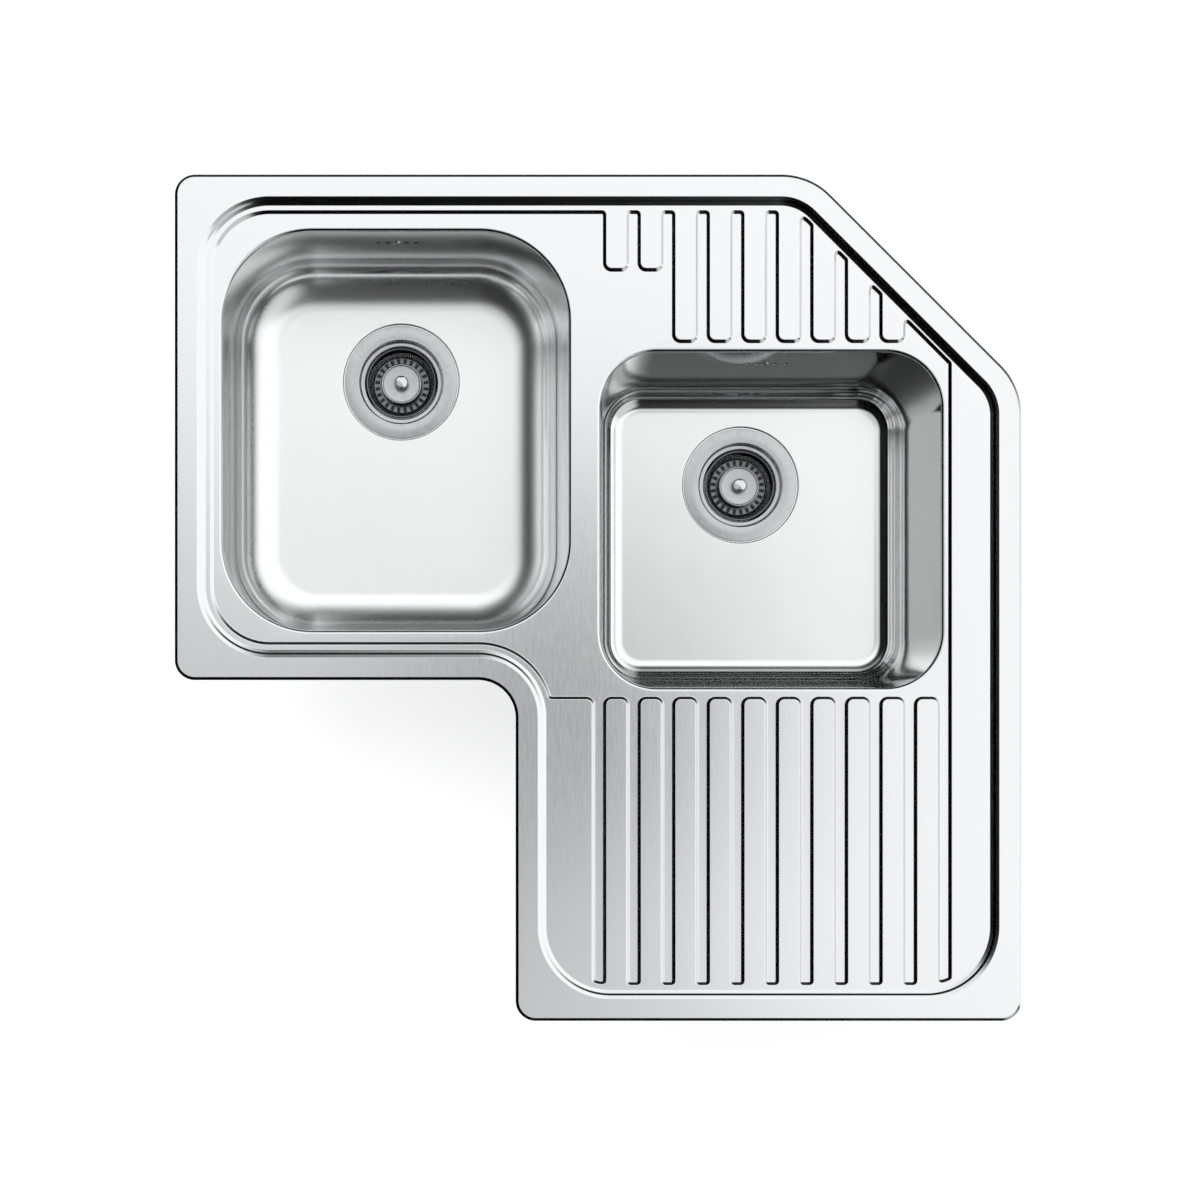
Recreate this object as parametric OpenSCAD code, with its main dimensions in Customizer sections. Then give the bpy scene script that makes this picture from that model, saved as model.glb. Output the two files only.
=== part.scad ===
// Corner kitchen sink: an L-shaped pressed steel deck with two welded bowls and ribbed drainers,
// held in a worktop by clips, with a basket strainer and an overflow in each bowl.
// Lengths are millimetres, +Z is up. Z 0 is the worktop, and X 0, Y 0 is the centre of the square
// that the L is cut from: the full corner lies at +X +Y and the missing quarter at -X -Y.

/* [Deck] */
// Thickness of the pressed sheet of deck and bowls
sheet_t = 0.8; // [0.6:0.1:1.2]
// Height of the rim's top above the worktop
rim_h = 5; // [4:0.5:8]
// Width of the rim, out to the wall of the recess
rim_w = 27.5; // [27:0.5:32]
// Gap between the worktop and the lower edge of the rim
rim_lift = 0.5; // [0.3:0.1:1]
// Radius of the outer corners
corner_r = 20; // [14:1:30]
// Radius of the inward corner of the L
inner_r = 37; // [20:1:60]
// Length that the cut-off back corner takes from each side
cut_leg = 207; // [190:1:220]
// Radius at the two ends of the cut-off corner
cut_r = 68; // [50:1:90]

/* [Recess and drainers] */
// Depth of the drainer level below the rim
recess_d = 4.5; // [3:0.5:6]
// Corner radius of the recess
recess_r = 65; // [40:1:80]
// Height of the drainer bars above the lowest level of the deck
rib_h = 2.5; // [1.5:0.5:4]
// How much further in the lowest level starts than the drainer level
basin_in = 8; // [6:0.5:8]
// Distance from one drainer bar to the next
rib_pitch = 33.9; // [32:0.1:34]
// Width of the channel between two bars
channel_w = 11; // [8:0.5:14]
// Radius at the free end of a bar
rib_r = 5; // [3:0.5:8]
// Least width of the flat land on the left of the bars
first_land = 40; // [30:1:60]
// Number of short bars behind the bowls
short_ribs = 2; // [1:1:2]
// Width of the flat land along the right edge, from the outline
strip_w = 69.3; // [66:0.1:74]
// Flat land between the second bowl and the ends of the bars
rib_land = 10; // [9:0.5:14]
// Distance of the short bars' ends from the back edge
short_rib_reach = 93; // [70:1:120]

/* [Main bowl] */
// Width of the main bowl's mouth along X
main_w = 340; // [300:1:400]
// Length of the main bowl's mouth along Y
main_l = 392; // [340:1:420]
// Corner radius of the main bowl's mouth
main_r = 88; // [75:1:100]
// Radius between the main bowl's walls and floor
main_floor_r = 45; // [30:1:50]
// Lean of the main bowl's walls
main_draft = 2.5; // [1:0.5:3]
// Distance of the main bowl's mouth from the left edge
main_from_left = 46.3; // [46:0.1:80]
// Distance of the main bowl's mouth from the back edge
main_from_back = 54.7; // [52:0.1:90]
// Distance of the main bowl's mouth from the front edge of its arm
main_from_front = 49.3; // [46:0.1:80]
// Distance of the main strainer's centre from the bowl's back edge
main_drain_back = 126; // [115:1:180]
// How far the main strainer's centre lies from the bowl's middle, along X
main_drain_off = 0.5; // [-10:0.5:10]

/* [Second bowl] */
// Width of the second bowl's mouth along X
second_w = 335; // [300:1:400]
// Length of the second bowl's mouth along Y
second_l = 330; // [300:1:380]
// Corner radius of the second bowl's mouth
second_r = 55; // [50:1:80]
// Radius between the second bowl's walls and floor
second_floor_r = 22; // [16:1:30]
// Lean of the second bowl's walls
second_draft = 6; // [3:0.5:7]
// Distance between the two bowls' mouths
bowl_gap = 31.4; // [20:0.1:60]
// Distance of the second bowl's mouth from the right edge
second_from_right = 77.3; // [77:0.1:100]
// Distance of the second bowl's mouth from the left edge of its arm
second_from_arm = 83.7; // [60:0.1:100]
// Distance of the second bowl's mouth from the back edge
second_from_back = 173.2; // [170:0.1:180]
// Distance of the second strainer's centre from the bowl's back edge
second_drain_back = 115.5; // [110:0.5:150]
// How far the second strainer's centre lies from the bowl's middle, along X
second_drain_off = -12.7; // [-15:0.1:10]

/* [Both bowls] */
// Depth of the bowl floors below the worktop
floor_depth = 160; // [140:1:190]
// How much nearer to the L's inward corner the floor lies than the mouth, along X and along Y
floor_shift = 4.5; // [0:0.5:8]
// Width of the flange that joins a bowl to the deck
bowl_flange = 8; // [6:0.5:8]

/* [Strainers] */
// Radius of the hole in the bowl's floor
drain_r = 45; // [44:0.5:46]
// Radius of the pressed seat round that hole
seat_r = 60.3; // [60:0.1:64]
// Depth of that seat
seat_d = 2.5; // [2:0.1:3.5]
// Radius of the strainer's flange
flange_r = 59; // [57:0.5:59.5]
// Thickness of the strainer's sheet
cup_t = 0.8; // [0.6:0.1:1]
// Radius of the strainer cup inside, above its ledge
cup_r = 42.8; // [41:0.1:43]
// Radius of the strainer cup inside, below its ledge
cup_low_r = 38; // [37.5:0.1:39]
// Depth of the ledge below the bowl's floor
ledge_d = 7; // [6:0.5:8]
// Depth of the cup's floor below the bowl's floor
cup_d = 34; // [32:1:38]
// Radius of the basket's rim
basket_r = 36.8; // [35:0.1:37]
// Radius of the basket's cap
cap_r = 21.8; // [20:0.1:22]
// Radius of the knob
knob_r = 7.3; // [6:0.1:8]
// Number of slots in the basket
slots = 24; // [16:1:28]

/* [Waste bodies] */
// Radius of the outlet's thread, outside
outlet_r = 23.9; // [20:0.1:24]
// Radius of the outlet's bore
outlet_bore_r = 20.5; // [16:0.1:20.5]
// Length of the outlet's straight thread
outlet_l = 28; // [20:1:40]
// Radius of the waste body round the cup, inside
body_r = 45.2; // [45:0.1:47]
// Wall of the waste body
body_wall = 2.8; // [2:0.1:3.5]
// Height of the waste body's cone
cone_h = 26; // [20:1:40]
// Radius of the hose sockets, outside
spigot_r = 8.5; // [7:0.1:8.5]
// Wall of the hose sockets
spigot_wall = 1.7; // [1.2:0.1:2]

/* [Overflows] */
// Depth of the overflow holes below the worktop
overflow_depth = 45; // [38:1:48]
// Radius of an overflow hole
overflow_hole_r = 2.5; // [2:0.1:3]
// Distance from the middle to the inner overflow holes
overflow_inner = 9; // [8:0.5:10]
// Distance between the two holes of a pair
overflow_step = 10; // [8:0.5:11]
// Number of ribs of the overflow hose
hose_ribs = 30; // [20:1:40]
// Height of a rib of the hose
hose_rib_h = 1.6; // [1:0.1:2]

/* [Clips] */
// Distance of the clips from the ends of the deck's edges
clip_in = 150; // [120:1:160]
// Distance of a clip's screw from the deck's edge
clip_u = 19; // [18:0.1:19]
// Thickness of the worktop that the clips are set for
worktop = 38; // [34:1:42]
// Radius of a clip's screw
clip_screw_r = 2.5; // [2:0.1:3]
// Width of a clip's bracket along the edge
bracket_w = 24; // [20:1:28]
// Width of a clip's claw
claw_w = 16; // [12:1:18]
// Thickness of the claw's strip
claw_t = 1.5; // [1.2:0.1:2]

/* [Hidden] */
$fn = 64;

// Cuts run this far past the faces that they open
over = 1;
// Running clearance of turning and sliding fits
fit = 0.05;
// Clearance between bodies that move past each other
free = 0.3;
// Steps in which an arc of an outline is drawn
arc_steps = 10;

// The square that the L is cut from, and the two arms, follow the bowls and the land round them
side = main_from_left + main_w + bowl_gap + second_w + second_from_right;
arm_l = main_from_back + main_l + main_from_front;
arm_w = second_from_arm + second_w + second_from_right;
half = side / 2;
arm_x = half - arm_w;
arm_y = half - arm_l;
level_1 = rim_h - recess_d;
level_2 = level_1 - rib_h;
weld_z = level_2 - sheet_t;
floor_z = -floor_depth;

// Points of an outline whose corners are rounded
function unit(a) = a / norm(a);
function corner_arc(a, b, c, r) =
  let (
    u = unit(a - b), w = unit(c - b), bend = acos(u * w) / 2,
    centre = b + unit(u + w) * r / sin(bend),
    from = b + u * r / tan(bend) - centre, to = b + w * r / tan(bend) - centre,
    start = atan2(from.y, from.x),
    turn = (atan2(to.y, to.x) - start + 540) % 360 - 180
  )
  [for (i = [0 : arc_steps]) let (t = start + turn * i / arc_steps) centre + r * [cos(t), sin(t)]];
function rounded(points, radii) =
  let (n = len(points))
  [for (i = [0 : n - 1])
    each radii[i] > 0
      ? corner_arc(points[(i + n - 1) % n], points[i], points[(i + 1) % n], radii[i])
      : [points[i]]];
function rectangle(w, l) = [[-w, -l] / 2, [w, -l] / 2, [w, l] / 2, [-w, l] / 2];
function rounded_rectangle(w, l, r) = rounded(rectangle(w, l), [r, r, r, r]);

// The L with every edge moved in by d, and its rounded forms
cut_in_share = tan(22.5);
function deck_corners(d) =
  let (far = half - d, near_x = arm_x + d, near_y = arm_y + d, cut = half - cut_leg - d * cut_in_share)
  [[-far, far], [-far, near_y], [near_x, near_y], [near_x, -far], [far, -far], [far, cut], [cut, far]];
function deck_outline(d) =
  let (r = corner_r - d, c = cut_r - d)
  rounded(deck_corners(d), [r, r, inner_r + d, r, r, c, c]);
function recess_outline(d) =
  let (r = recess_r - d, in = rim_w + d, c = cut_r - in)
  rounded(deck_corners(in), [r, r, inner_r + in, r, r, c, c]);

// Drainer bars, each drawn smaller by g all round
rib_w = rib_pitch - channel_w;
strip_x = half - strip_w;
second_back = half - second_from_back;
second_front = second_back - second_l;
second_x = half - second_from_right - second_w / 2;
second_y = second_back - second_l / 2;
main_x = -half + main_from_left + main_w / 2;
main_y = half - main_from_back - main_l / 2;
lower_y = second_front - rib_land;
lower_ribs = floor((arm_w - strip_w - rim_w - basin_in - channel_w - first_land) / rib_pitch);
upper_ribs = lower_ribs - 1;
function rib_x(k) = strip_x - (lower_ribs - k) * rib_pitch;

// A bar that starts past the recess at y_far and ends free and rounded at y_end
module bar(x_from, x_to, y_far, y_end, g) {
  sign = y_end > y_far ? 1 : -1;
  end = y_end - sign * g;
  r = rib_r - g;
  polygon(rounded([[x_from + g, y_far], [x_to - g, y_far], [x_to - g, end], [x_from + g, end]],
    [0, 0, r, r]));
}

// The lowest level of the deck, drawn larger by g all round
module basin(g) {
  difference() {
    polygon(recess_outline(basin_in - g));
    bar(arm_x, rib_x(0) - channel_w, -half, lower_y, g);
    for (k = [0 : lower_ribs - 1]) bar(rib_x(k), rib_x(k) + rib_w, -half, lower_y, g);
    for (k = [0 : short_ribs - 1])
      bar(rib_x(k), rib_x(k) + rib_w, half, half - short_rib_reach, g);
    for (k = [short_ribs : upper_ribs - 1])
      bar(rib_x(k), rib_x(k) + rib_w, half, second_back + rib_land, g);
    translate([strip_x + g, -half]) square([strip_w, side]);
  }
}

module mouth(x, y, w, l, r) {
  translate([x, y]) polygon(rounded_rectangle(w, l, r));
}

module slab(z_low, z_high) {
  translate([0, 0, z_low]) linear_extrude(z_high - z_low) children();
}

module deck() {
  color("gainsboro") difference() {
    union() {
      slab(rim_lift, rim_h) polygon(deck_outline(0));
      slab(level_1 - sheet_t, rim_h) polygon(recess_outline(-sheet_t));
      slab(weld_z, rim_h) basin(sheet_t);
    }
    slab(rim_lift - over, rim_h - sheet_t) difference() {
      polygon(deck_outline(sheet_t));
      polygon(recess_outline(-sheet_t));
    }
    slab(level_1, rim_h + over) polygon(recess_outline(0));
    slab(level_2, rim_h) basin(0);
    slab(weld_z - over, rim_h) {
      mouth(main_x, main_y, main_w, main_l, main_r);
      mouth(second_x, second_y, second_w, second_l, second_r);
    }
  }
}

// Bowls: rings of points from the floor up to the mouth
bend_steps = 7;
// Two triangles between each pair of neighbours of ring a and the ring b above it, of n points
function band(a, b, n) =
  [for (j = [0 : n - 1]) let (k = (j + 1) % n)
    each [[a + j, b + k, a + k], [a + j, b + j, b + k]]];
function flipped(faces) = [for (f = faces) [f[0], f[2], f[1]]];

// Inset and height of the bowl's wall where the turn into the floor has reached the angle t
function bend_in(draft, r, deep) = r * cos(draft) + tan(draft) * (deep - r + r * sin(draft));
function bowl_levels(draft, r, deep, g) =
  concat(
    [for (i = [bend_steps : -1 : 0]) let (t = draft + (90 - draft) * i / bend_steps)
      [bend_in(draft, r, deep) - (r + g) * cos(t), weld_z - deep + r - (r + g) * sin(t)]],
    [[-g / cos(draft), weld_z], if (g == 0) [0, weld_z + over]]);

module bowl_form(x, y, w, l, mouth_r, r, draft, g) {
  deep = weld_z - floor_z;
  levels = bowl_levels(draft, r, deep, g);
  rings = [for (v = levels) let (down = floor_shift * min(1, (weld_z - v.y) / deep))
    [for (p = rounded_rectangle(w - 2 * v.x, l - 2 * v.x, mouth_r - v.x))
      [x + p.x - max(0, down), y + p.y - max(0, down), v.y]]];
  n = len(rings[0]);
  top = (len(rings) - 1) * n;
  polyhedron([for (ring = rings) each ring],
    concat([[for (j = [0 : n - 1]) j]],
      [for (i = [0 : len(rings) - 2]) each band(i * n, (i + 1) * n, n)],
      [[for (j = [n - 1 : -1 : 0]) top + j]]));
}

// Overflow places: the wall leans in by its draft and by the floor's shift
overflow_l = 62;
overflow_h = 26;
overflow_gasket_t = 2;
collector_t = 22;
spigot_out = 14;
spigot_l = 18;
screw_r = 2.4;
function lean(draft) = atan(tan(draft) + floor_shift / (weld_z - floor_z));
module at_overflow(x, y_back, draft) {
  translate([x, y_back - tan(lean(draft)) * (overflow_depth + weld_z) + sheet_t / cos(draft),
      -overflow_depth])
    rotate([-lean(draft), 0, 0]) children();
}
module at_main_overflow() {
  at_overflow(main_x + main_drain_off, main_y + main_l / 2, main_draft) children();
}
module at_second_overflow() {
  at_overflow(second_x, second_back, second_draft) children();
}
module overflow_cuts() {
  translate([0, -sheet_t / 2, 0]) rotate([90, 0, 0]) {
    for (s = [-1, 1], k = [0, 1]) translate([s * (overflow_inner + k * overflow_step), 0, 0])
      cylinder(r = overflow_hole_r, h = 4 * sheet_t, center = true);
    cylinder(r = screw_r + free, h = 4 * sheet_t, center = true);
  }
}

module bowl(x, y, w, l, mouth_r, r, draft, drain_x, drain_y) {
  difference() {
    union() {
      bowl_form(x, y, w, l, mouth_r, r, draft, sheet_t);
      slab(weld_z - sheet_t, weld_z)
        mouth(x, y, w + 2 * bowl_flange, l + 2 * bowl_flange, mouth_r + bowl_flange);
      translate([drain_x, drain_y, floor_z - seat_d - sheet_t])
        cylinder(r = seat_r + sheet_t, h = seat_d + sheet_t / 2);
    }
    bowl_form(x, y, w, l, mouth_r, r, draft, 0);
    translate([drain_x, drain_y, floor_z - seat_d]) cylinder(r = seat_r, h = seat_d + over);
    translate([drain_x, drain_y, floor_z - seat_d - over]) cylinder(r = drain_r, h = 2 * over);
  }
}

main_drain = [main_x + main_drain_off, main_y + main_l / 2 - main_drain_back, floor_z];
second_drain = [second_x + second_drain_off, second_back - second_drain_back, floor_z];

module main_bowl() {
  color("silver") difference() {
    bowl(main_x, main_y, main_w, main_l, main_r, main_floor_r, main_draft,
      main_drain.x, main_drain.y);
    at_main_overflow() overflow_cuts();
  }
}
module second_bowl() {
  color("silver") difference() {
    bowl(second_x, second_y, second_w, second_l, second_r, second_floor_r, second_draft,
      second_drain.x, second_drain.y);
    at_second_overflow() overflow_cuts();
  }
}

// Rim gasket: a band under the rim, flush with the worktop
gasket_from = 2;
gasket_w = 8;
module rim_gasket() {
  color("dimgray") slab(0, rim_h - sheet_t) difference() {
    polygon(deck_outline(gasket_from));
    polygon(deck_outline(gasket_from + gasket_w));
  }
}

// Sound-deadening pads under the floors, in front of the strainers
pad_w = 180;
pad_l = 90;
pad_t = 2;
pad_r = 15;
pad_gap = 15;
module sound_pad(drain, x) {
  translate([x - floor_shift, drain.y - seat_r - pad_gap - pad_l / 2, floor_z - sheet_t - pad_t])
    linear_extrude(pad_t) polygon(rounded_rectangle(pad_w, pad_l, pad_r));
}
module sound_pads() {
  color("darkslategray") {
    sound_pad(main_drain, main_x);
    sound_pad(second_drain, second_x);
  }
}

// Clips: x, y of the point on the deck's edge, and the turn that points local +X into the deck
clip_places = [
  [-half, half - arm_l / 2, 0], [clip_in - half, half, -90], [half - cut_leg - clip_in, half, -90],
  [half, half - cut_leg - clip_in, 180], [half, clip_in - half, 180],
  [half - arm_w / 2, -half, 90], [arm_x, clip_in - half, 0], [clip_in - half, arm_y, 90]
];
bracket_t = 1.2;
bracket_from = 12;
bracket_h = 17.4;
screw_above = 8;
screw_head_r = 4.5;
screw_head_h = 4;
claw_tail = 8;
claw_finger_u = 2.5;
claw_finger_h = 12.5;
tooth_h = 1.5;
bracket_to = rim_w - sheet_t - free;
under_rim = rim_h - sheet_t;
bracket_low = under_rim - bracket_h;
claw_top = -worktop - claw_finger_h;
module at_clip(k) {
  p = clip_places[k - 1];
  translate([p.x, p.y, 0]) rotate([0, 0, p.z]) children();
}
module clip_bracket() {
  difference() {
    translate([bracket_from, -bracket_w / 2, bracket_low])
      cube([bracket_to - bracket_from, bracket_w, bracket_h]);
    translate([bracket_from - over, -bracket_w / 2 - over, bracket_low + bracket_t])
      cube([bracket_to - bracket_from - bracket_t + over, bracket_w + 2 * over,
        bracket_h - 2 * bracket_t]);
    translate([clip_u, 0, bracket_low - over])
      cylinder(r = clip_screw_r + fit, h = bracket_t + 2 * over);
  }
}
module clip_brackets() {
  color("lightgray") for (k = [1 : len(clip_places)]) at_clip(k) clip_bracket();
}
module clip_screw(k) {
  head_top = claw_top - claw_t;
  color("gray") at_clip(k) translate([clip_u, 0, 0]) {
    translate([0, 0, head_top]) cylinder(r = clip_screw_r, h = bracket_low + screw_above - head_top);
    difference() {
      translate([0, 0, head_top - screw_head_h]) cylinder(r = screw_head_r, h = screw_head_h);
      translate([0, 0, head_top - screw_head_h - over])
        cube([2 * screw_head_r + over, claw_t, screw_head_h + over], center = true);
    }
  }
}
module clip_claw(k) {
  color("darkgray") at_clip(k) {
    difference() {
      translate([claw_finger_u, -claw_w / 2, claw_top - claw_t])
        cube([clip_u + claw_tail - claw_finger_u, claw_w, claw_t]);
      translate([clip_u, 0, claw_top - claw_t - over])
        cylinder(r = clip_screw_r + fit, h = claw_t + 2 * over);
    }
    difference() {
      translate([claw_finger_u, -claw_w / 2, claw_top])
        cube([claw_t, claw_w, claw_finger_h]);
      for (s = [-1, 0, 1]) translate([claw_finger_u + claw_t / 2, s * claw_w / 3, -worktop])
        rotate([45, 0, 0]) cube([2 * claw_t, tooth_h, tooth_h], center = true);
    }
  }
}

// Strainers, drawn with Z 0 at the bowl's floor and the drain's centre on the axis
strainer_gasket_t = seat_d - cup_t;
waste_gasket_t = 2.2;
flange_crown = 0.6;
ledge_w = cup_r - cup_low_r;
lip = 1.8;
cup_foot_r = 4;
seal_r = 29;
seal_t = 3;
seal_lip_w = 3;
head_r = 8;
head_h = 3;
shank_r = 3;
shank_l = 22;
socket_r = 2.2;
socket_l = 14;
stem_in = 10;
sieve_t = 0.8;
sieve_foot_r = 30;
sieve_d = 8;
cap_d = 12;
cap_t = 1.2;
cap_lip = 2;
hub_wall = 2;
knob_h = 11;
stem_r = 2.6;
drain_holes = 8;
drain_hole_r = 5;
drain_hole_at = 20;
slot_w = 2;
slot_l = 6;
slot_in = 23;
sieve_low = -cup_d + head_h + free + seal_t + free;

module strainer_cup() {
  color("silver") difference() {
    rotate_extrude() polygon([
      [shank_r + free, -cup_d - cup_t], [cup_low_r - cup_foot_r + cup_t, -cup_d - cup_t],
      [cup_low_r + cup_t, -cup_d + cup_foot_r - cup_t], [cup_low_r + cup_t, -ledge_d - lip - cup_t],
      [cup_r - lip + cup_t, -ledge_d - cup_t], [cup_r + cup_t, -ledge_d + lip - cup_t],
      [cup_r + cup_t, -lip - cup_t], [cup_r + lip + cup_t, -cup_t], [flange_r, -cup_t],
      [flange_r, -cup_t / 4], [flange_r - lip, flange_crown / 2],
      [(flange_r + cup_r) / 2, flange_crown], [cup_r + lip + cup_t, flange_crown / 3],
      [cup_r + cup_t / 2, -lip / 2], [cup_r, -lip],
      [cup_r, -ledge_d + lip / 2], [cup_r - lip, -ledge_d], [cup_low_r + lip / 2, -ledge_d - lip / 4],
      [cup_low_r, -ledge_d - lip], [cup_low_r, -cup_d + cup_foot_r],
      [cup_low_r - cup_foot_r, -cup_d], [shank_r + free, -cup_d]
    ]);
    for (i = [0 : drain_holes - 1]) rotate([0, 0, 360 * i / drain_holes])
      translate([drain_hole_at, 0, -cup_d - cup_t - over])
        cylinder(r = drain_hole_r, h = cup_t + 2 * over);
  }
}
module ring(r_in, r_out, z_low, z_high) {
  translate([0, 0, z_low]) difference() {
    cylinder(r = r_out, h = z_high - z_low);
    translate([0, 0, -over]) cylinder(r = r_in, h = z_high - z_low + 2 * over);
  }
}
module strainer_gasket() {
  color("dimgray") ring(drain_r + over, flange_r - over, -seat_d, -cup_t);
}
under_bowl = -seat_d - sheet_t;
body_top = under_bowl - waste_gasket_t;
module waste_gasket() {
  color("dimgray") ring(body_r + over / 2, body_r + 4 * body_wall, body_top, under_bowl);
}

// Waste body: a plastic cup with a cone, a threaded outlet, a boss for the screw and a hose socket
cone_top = -cup_d - cup_t - 2 * body_wall;
cone_low = cone_top - cone_h;
outlet_z = cone_low - outlet_l;
boss_r = 8;
web_t = 2.5;
webs = 3;
socket_z = -26;
stub_l = 20;
module waste_body(turn) {
  color("whitesmoke") {
    difference() {
      union() {
        rotate_extrude() polygon([
          [0, body_top], [body_r + body_wall, body_top], [body_r + body_wall, cone_top],
          [outlet_r, cone_low - body_wall / 2], [outlet_r, outlet_z], [0, outlet_z]]);
        ring(body_r, body_r + 4 * body_wall, body_top - body_wall, body_top);
        rotate([0, 0, turn]) translate([0, body_r, socket_z]) rotate([-90, 0, 0])
          cylinder(r = spigot_r, h = body_wall + stub_l);
      }
      translate([0, 0, over]) rotate_extrude() polygon([
        [0, body_top], [body_r, body_top], [body_r, cone_top], [outlet_bore_r, cone_low],
        [outlet_bore_r, cone_low - over], [0, cone_low - over]]);
      translate([0, 0, outlet_z - over]) cylinder(r = outlet_bore_r, h = outlet_l + 2 * over);
      rotate([0, 0, turn]) translate([0, body_r - body_wall, socket_z]) rotate([-90, 0, 0])
        cylinder(r = spigot_r - spigot_wall, h = 2 * body_wall + stub_l + over);
    }
    difference() {
      union() {
        translate([0, 0, cone_low + over]) cylinder(r = boss_r, h = -cup_d - cup_t - cone_low - over);
        intersection() {
          for (i = [0 : webs - 1]) rotate([0, 0, turn + 90 + 360 * i / webs])
            translate([0, -web_t / 2, cone_low + 2 * over])
              cube([body_r + body_wall / 2, web_t, cone_top - cone_low]);
          rotate_extrude() polygon([[0, cone_top + 2 * over], [body_r + body_wall / 2, cone_top],
            [outlet_bore_r + body_wall / 2, cone_low], [0, cone_low]]);
        }
      }
      translate([0, 0, -cup_d - cup_t - shank_l - over])
        cylinder(r = shank_r + fit, h = shank_l + 2 * over);
    }
  }
}
module waste_screw() {
  color("gray") difference() {
    union() {
      translate([0, 0, -cup_d]) cylinder(r = head_r, h = head_h);
      translate([0, 0, -cup_d - cup_t - shank_l]) cylinder(r = shank_r, h = shank_l + cup_t);
    }
    translate([0, 0, -cup_d + head_h - socket_l]) cylinder(r = socket_r, h = socket_l + over);
  }
}

// Basket: the sieve and the cap with its knob turn on the stem, which carries the seal
module basket_sieve() {
  color("silver") difference() {
    rotate_extrude() polygon([
      [stem_r + fit, sieve_low], [sieve_foot_r, sieve_low], [sieve_foot_r + lip, sieve_low + lip],
      [basket_r - lip, -sieve_d - lip], [basket_r, -sieve_d], [basket_r, -sieve_d + lip],
      [basket_r - lip, -sieve_d + lip], [basket_r - lip - sieve_t, -sieve_d - lip],
      [sieve_foot_r + lip - sieve_t, sieve_low + lip + sieve_t],
      [sieve_foot_r - sieve_t, sieve_low + sieve_t], [stem_r + fit, sieve_low + sieve_t]
    ]);
    for (i = [0 : slots - 1]) rotate([0, 0, 360 * i / slots])
      translate([slot_in, -slot_w / 2, sieve_low - over]) cube([slot_l, slot_w, sieve_t + 2 * over]);
  }
}
module basket_cap() {
  color("silver") rotate_extrude() polygon([
    [stem_r + fit, sieve_low + sieve_t], [stem_r + hub_wall, sieve_low + sieve_t],
    [stem_r + hub_wall, -cap_d - cap_t], [cap_r - cap_t, -cap_d - cap_t],
    [cap_r - cap_t, -cap_d - cap_lip], [cap_r, -cap_d - cap_lip], [cap_r, -cap_d - cap_t / 2],
    [cap_r - cap_t / 2, -cap_d], [cap_r - cap_lip, -cap_d], [knob_r, -cap_d],
    [stem_r + fit, -cap_d]
  ]);
}
module basket_knob() {
  color("silver") rotate_extrude() polygon([
    [0, -cap_d + knob_h], [knob_r / 2, -cap_d + knob_h - lip / 4],
    [knob_r - lip, -cap_d + knob_h - lip], [knob_r, -cap_d + knob_h - 2 * lip],
    [knob_r - lip, -cap_d + knob_h - 3 * lip], [knob_r / 2 + fit, -cap_d + knob_h / 3],
    [knob_r / 2 + lip, -cap_d], [stem_r + fit, -cap_d], [stem_r + fit, -cap_d + knob_h / 3],
    [0, -cap_d + knob_h / 3]
  ]);
}
module basket_stem() {
  color("gray") {
    translate([0, 0, sieve_low - seal_t - free / 2])
      cylinder(r = stem_r, h = -cap_d + knob_h / 3 - fit - sieve_low + seal_t + free / 2);
    translate([0, 0, -cup_d + head_h - stem_in])
      cylinder(r = socket_r - fit, h = sieve_low - seal_t + cup_d - head_h + stem_in);
  }
}
module basket_seal() {
  top = sieve_low - free / 2;
  color("dimgray") rotate_extrude() polygon([
    [stem_r, top], [seal_r, top], [seal_r, -cup_d + free], [seal_r - seal_lip_w / 2, -cup_d + free],
    [seal_r - seal_lip_w, top - seal_t + free / 2], [stem_r, top - seal_t + free / 2]
  ]);
}

// Overflows, drawn with the wall's outer face at Y 0 and the holes' middle on the axis
window_share = 0.74;
module overflow_gasket() {
  color("dimgray") rotate([-90, 0, 0]) linear_extrude(overflow_gasket_t) difference() {
    polygon(rounded_rectangle(overflow_l, overflow_h, overflow_h / 4));
    polygon(rounded_rectangle(overflow_l * window_share, overflow_h / 2, overflow_h / 8));
  }
}
module overflow_collector() {
  wall = spigot_wall;
  color("whitesmoke") difference() {
    union() {
      translate([0, overflow_gasket_t, 0]) rotate([-90, 0, 0]) linear_extrude(collector_t)
        polygon(rounded_rectangle(overflow_l, overflow_h, overflow_h / 4));
      translate([0, spigot_out, -overflow_h / 2 - spigot_l]) cylinder(r = spigot_r, h = spigot_l + wall);
    }
    difference() {
      translate([0, overflow_gasket_t - over, 0]) rotate([-90, 0, 0])
        linear_extrude(collector_t + over - wall)
          polygon(rounded_rectangle(overflow_l * window_share, overflow_h / 2 + 2 * wall, overflow_h / 8));
      translate([0, overflow_gasket_t - 2 * over, 0]) rotate([-90, 0, 0])
        cylinder(r = 2 * screw_r, h = collector_t + 2 * over);
    }
    rotate([-90, 0, 0]) cylinder(r = screw_r + fit, h = collector_t - 2 * wall);
    translate([0, spigot_out, -overflow_h / 2 - spigot_l - over])
      cylinder(r = spigot_r - wall, h = spigot_l + overflow_h / 4 + over);
  }
}
overflow_head_r = 4.2;
overflow_head_h = 2.2;
overflow_shank_l = 14;
module overflow_screw() {
  color("gray") rotate([-90, 0, 0]) {
    translate([0, 0, -sheet_t]) cylinder(r = screw_r, h = overflow_shank_l);
    translate([0, 0, -sheet_t - overflow_head_h]) cylinder(r = overflow_head_r, h = overflow_head_h);
  }
}

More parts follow.
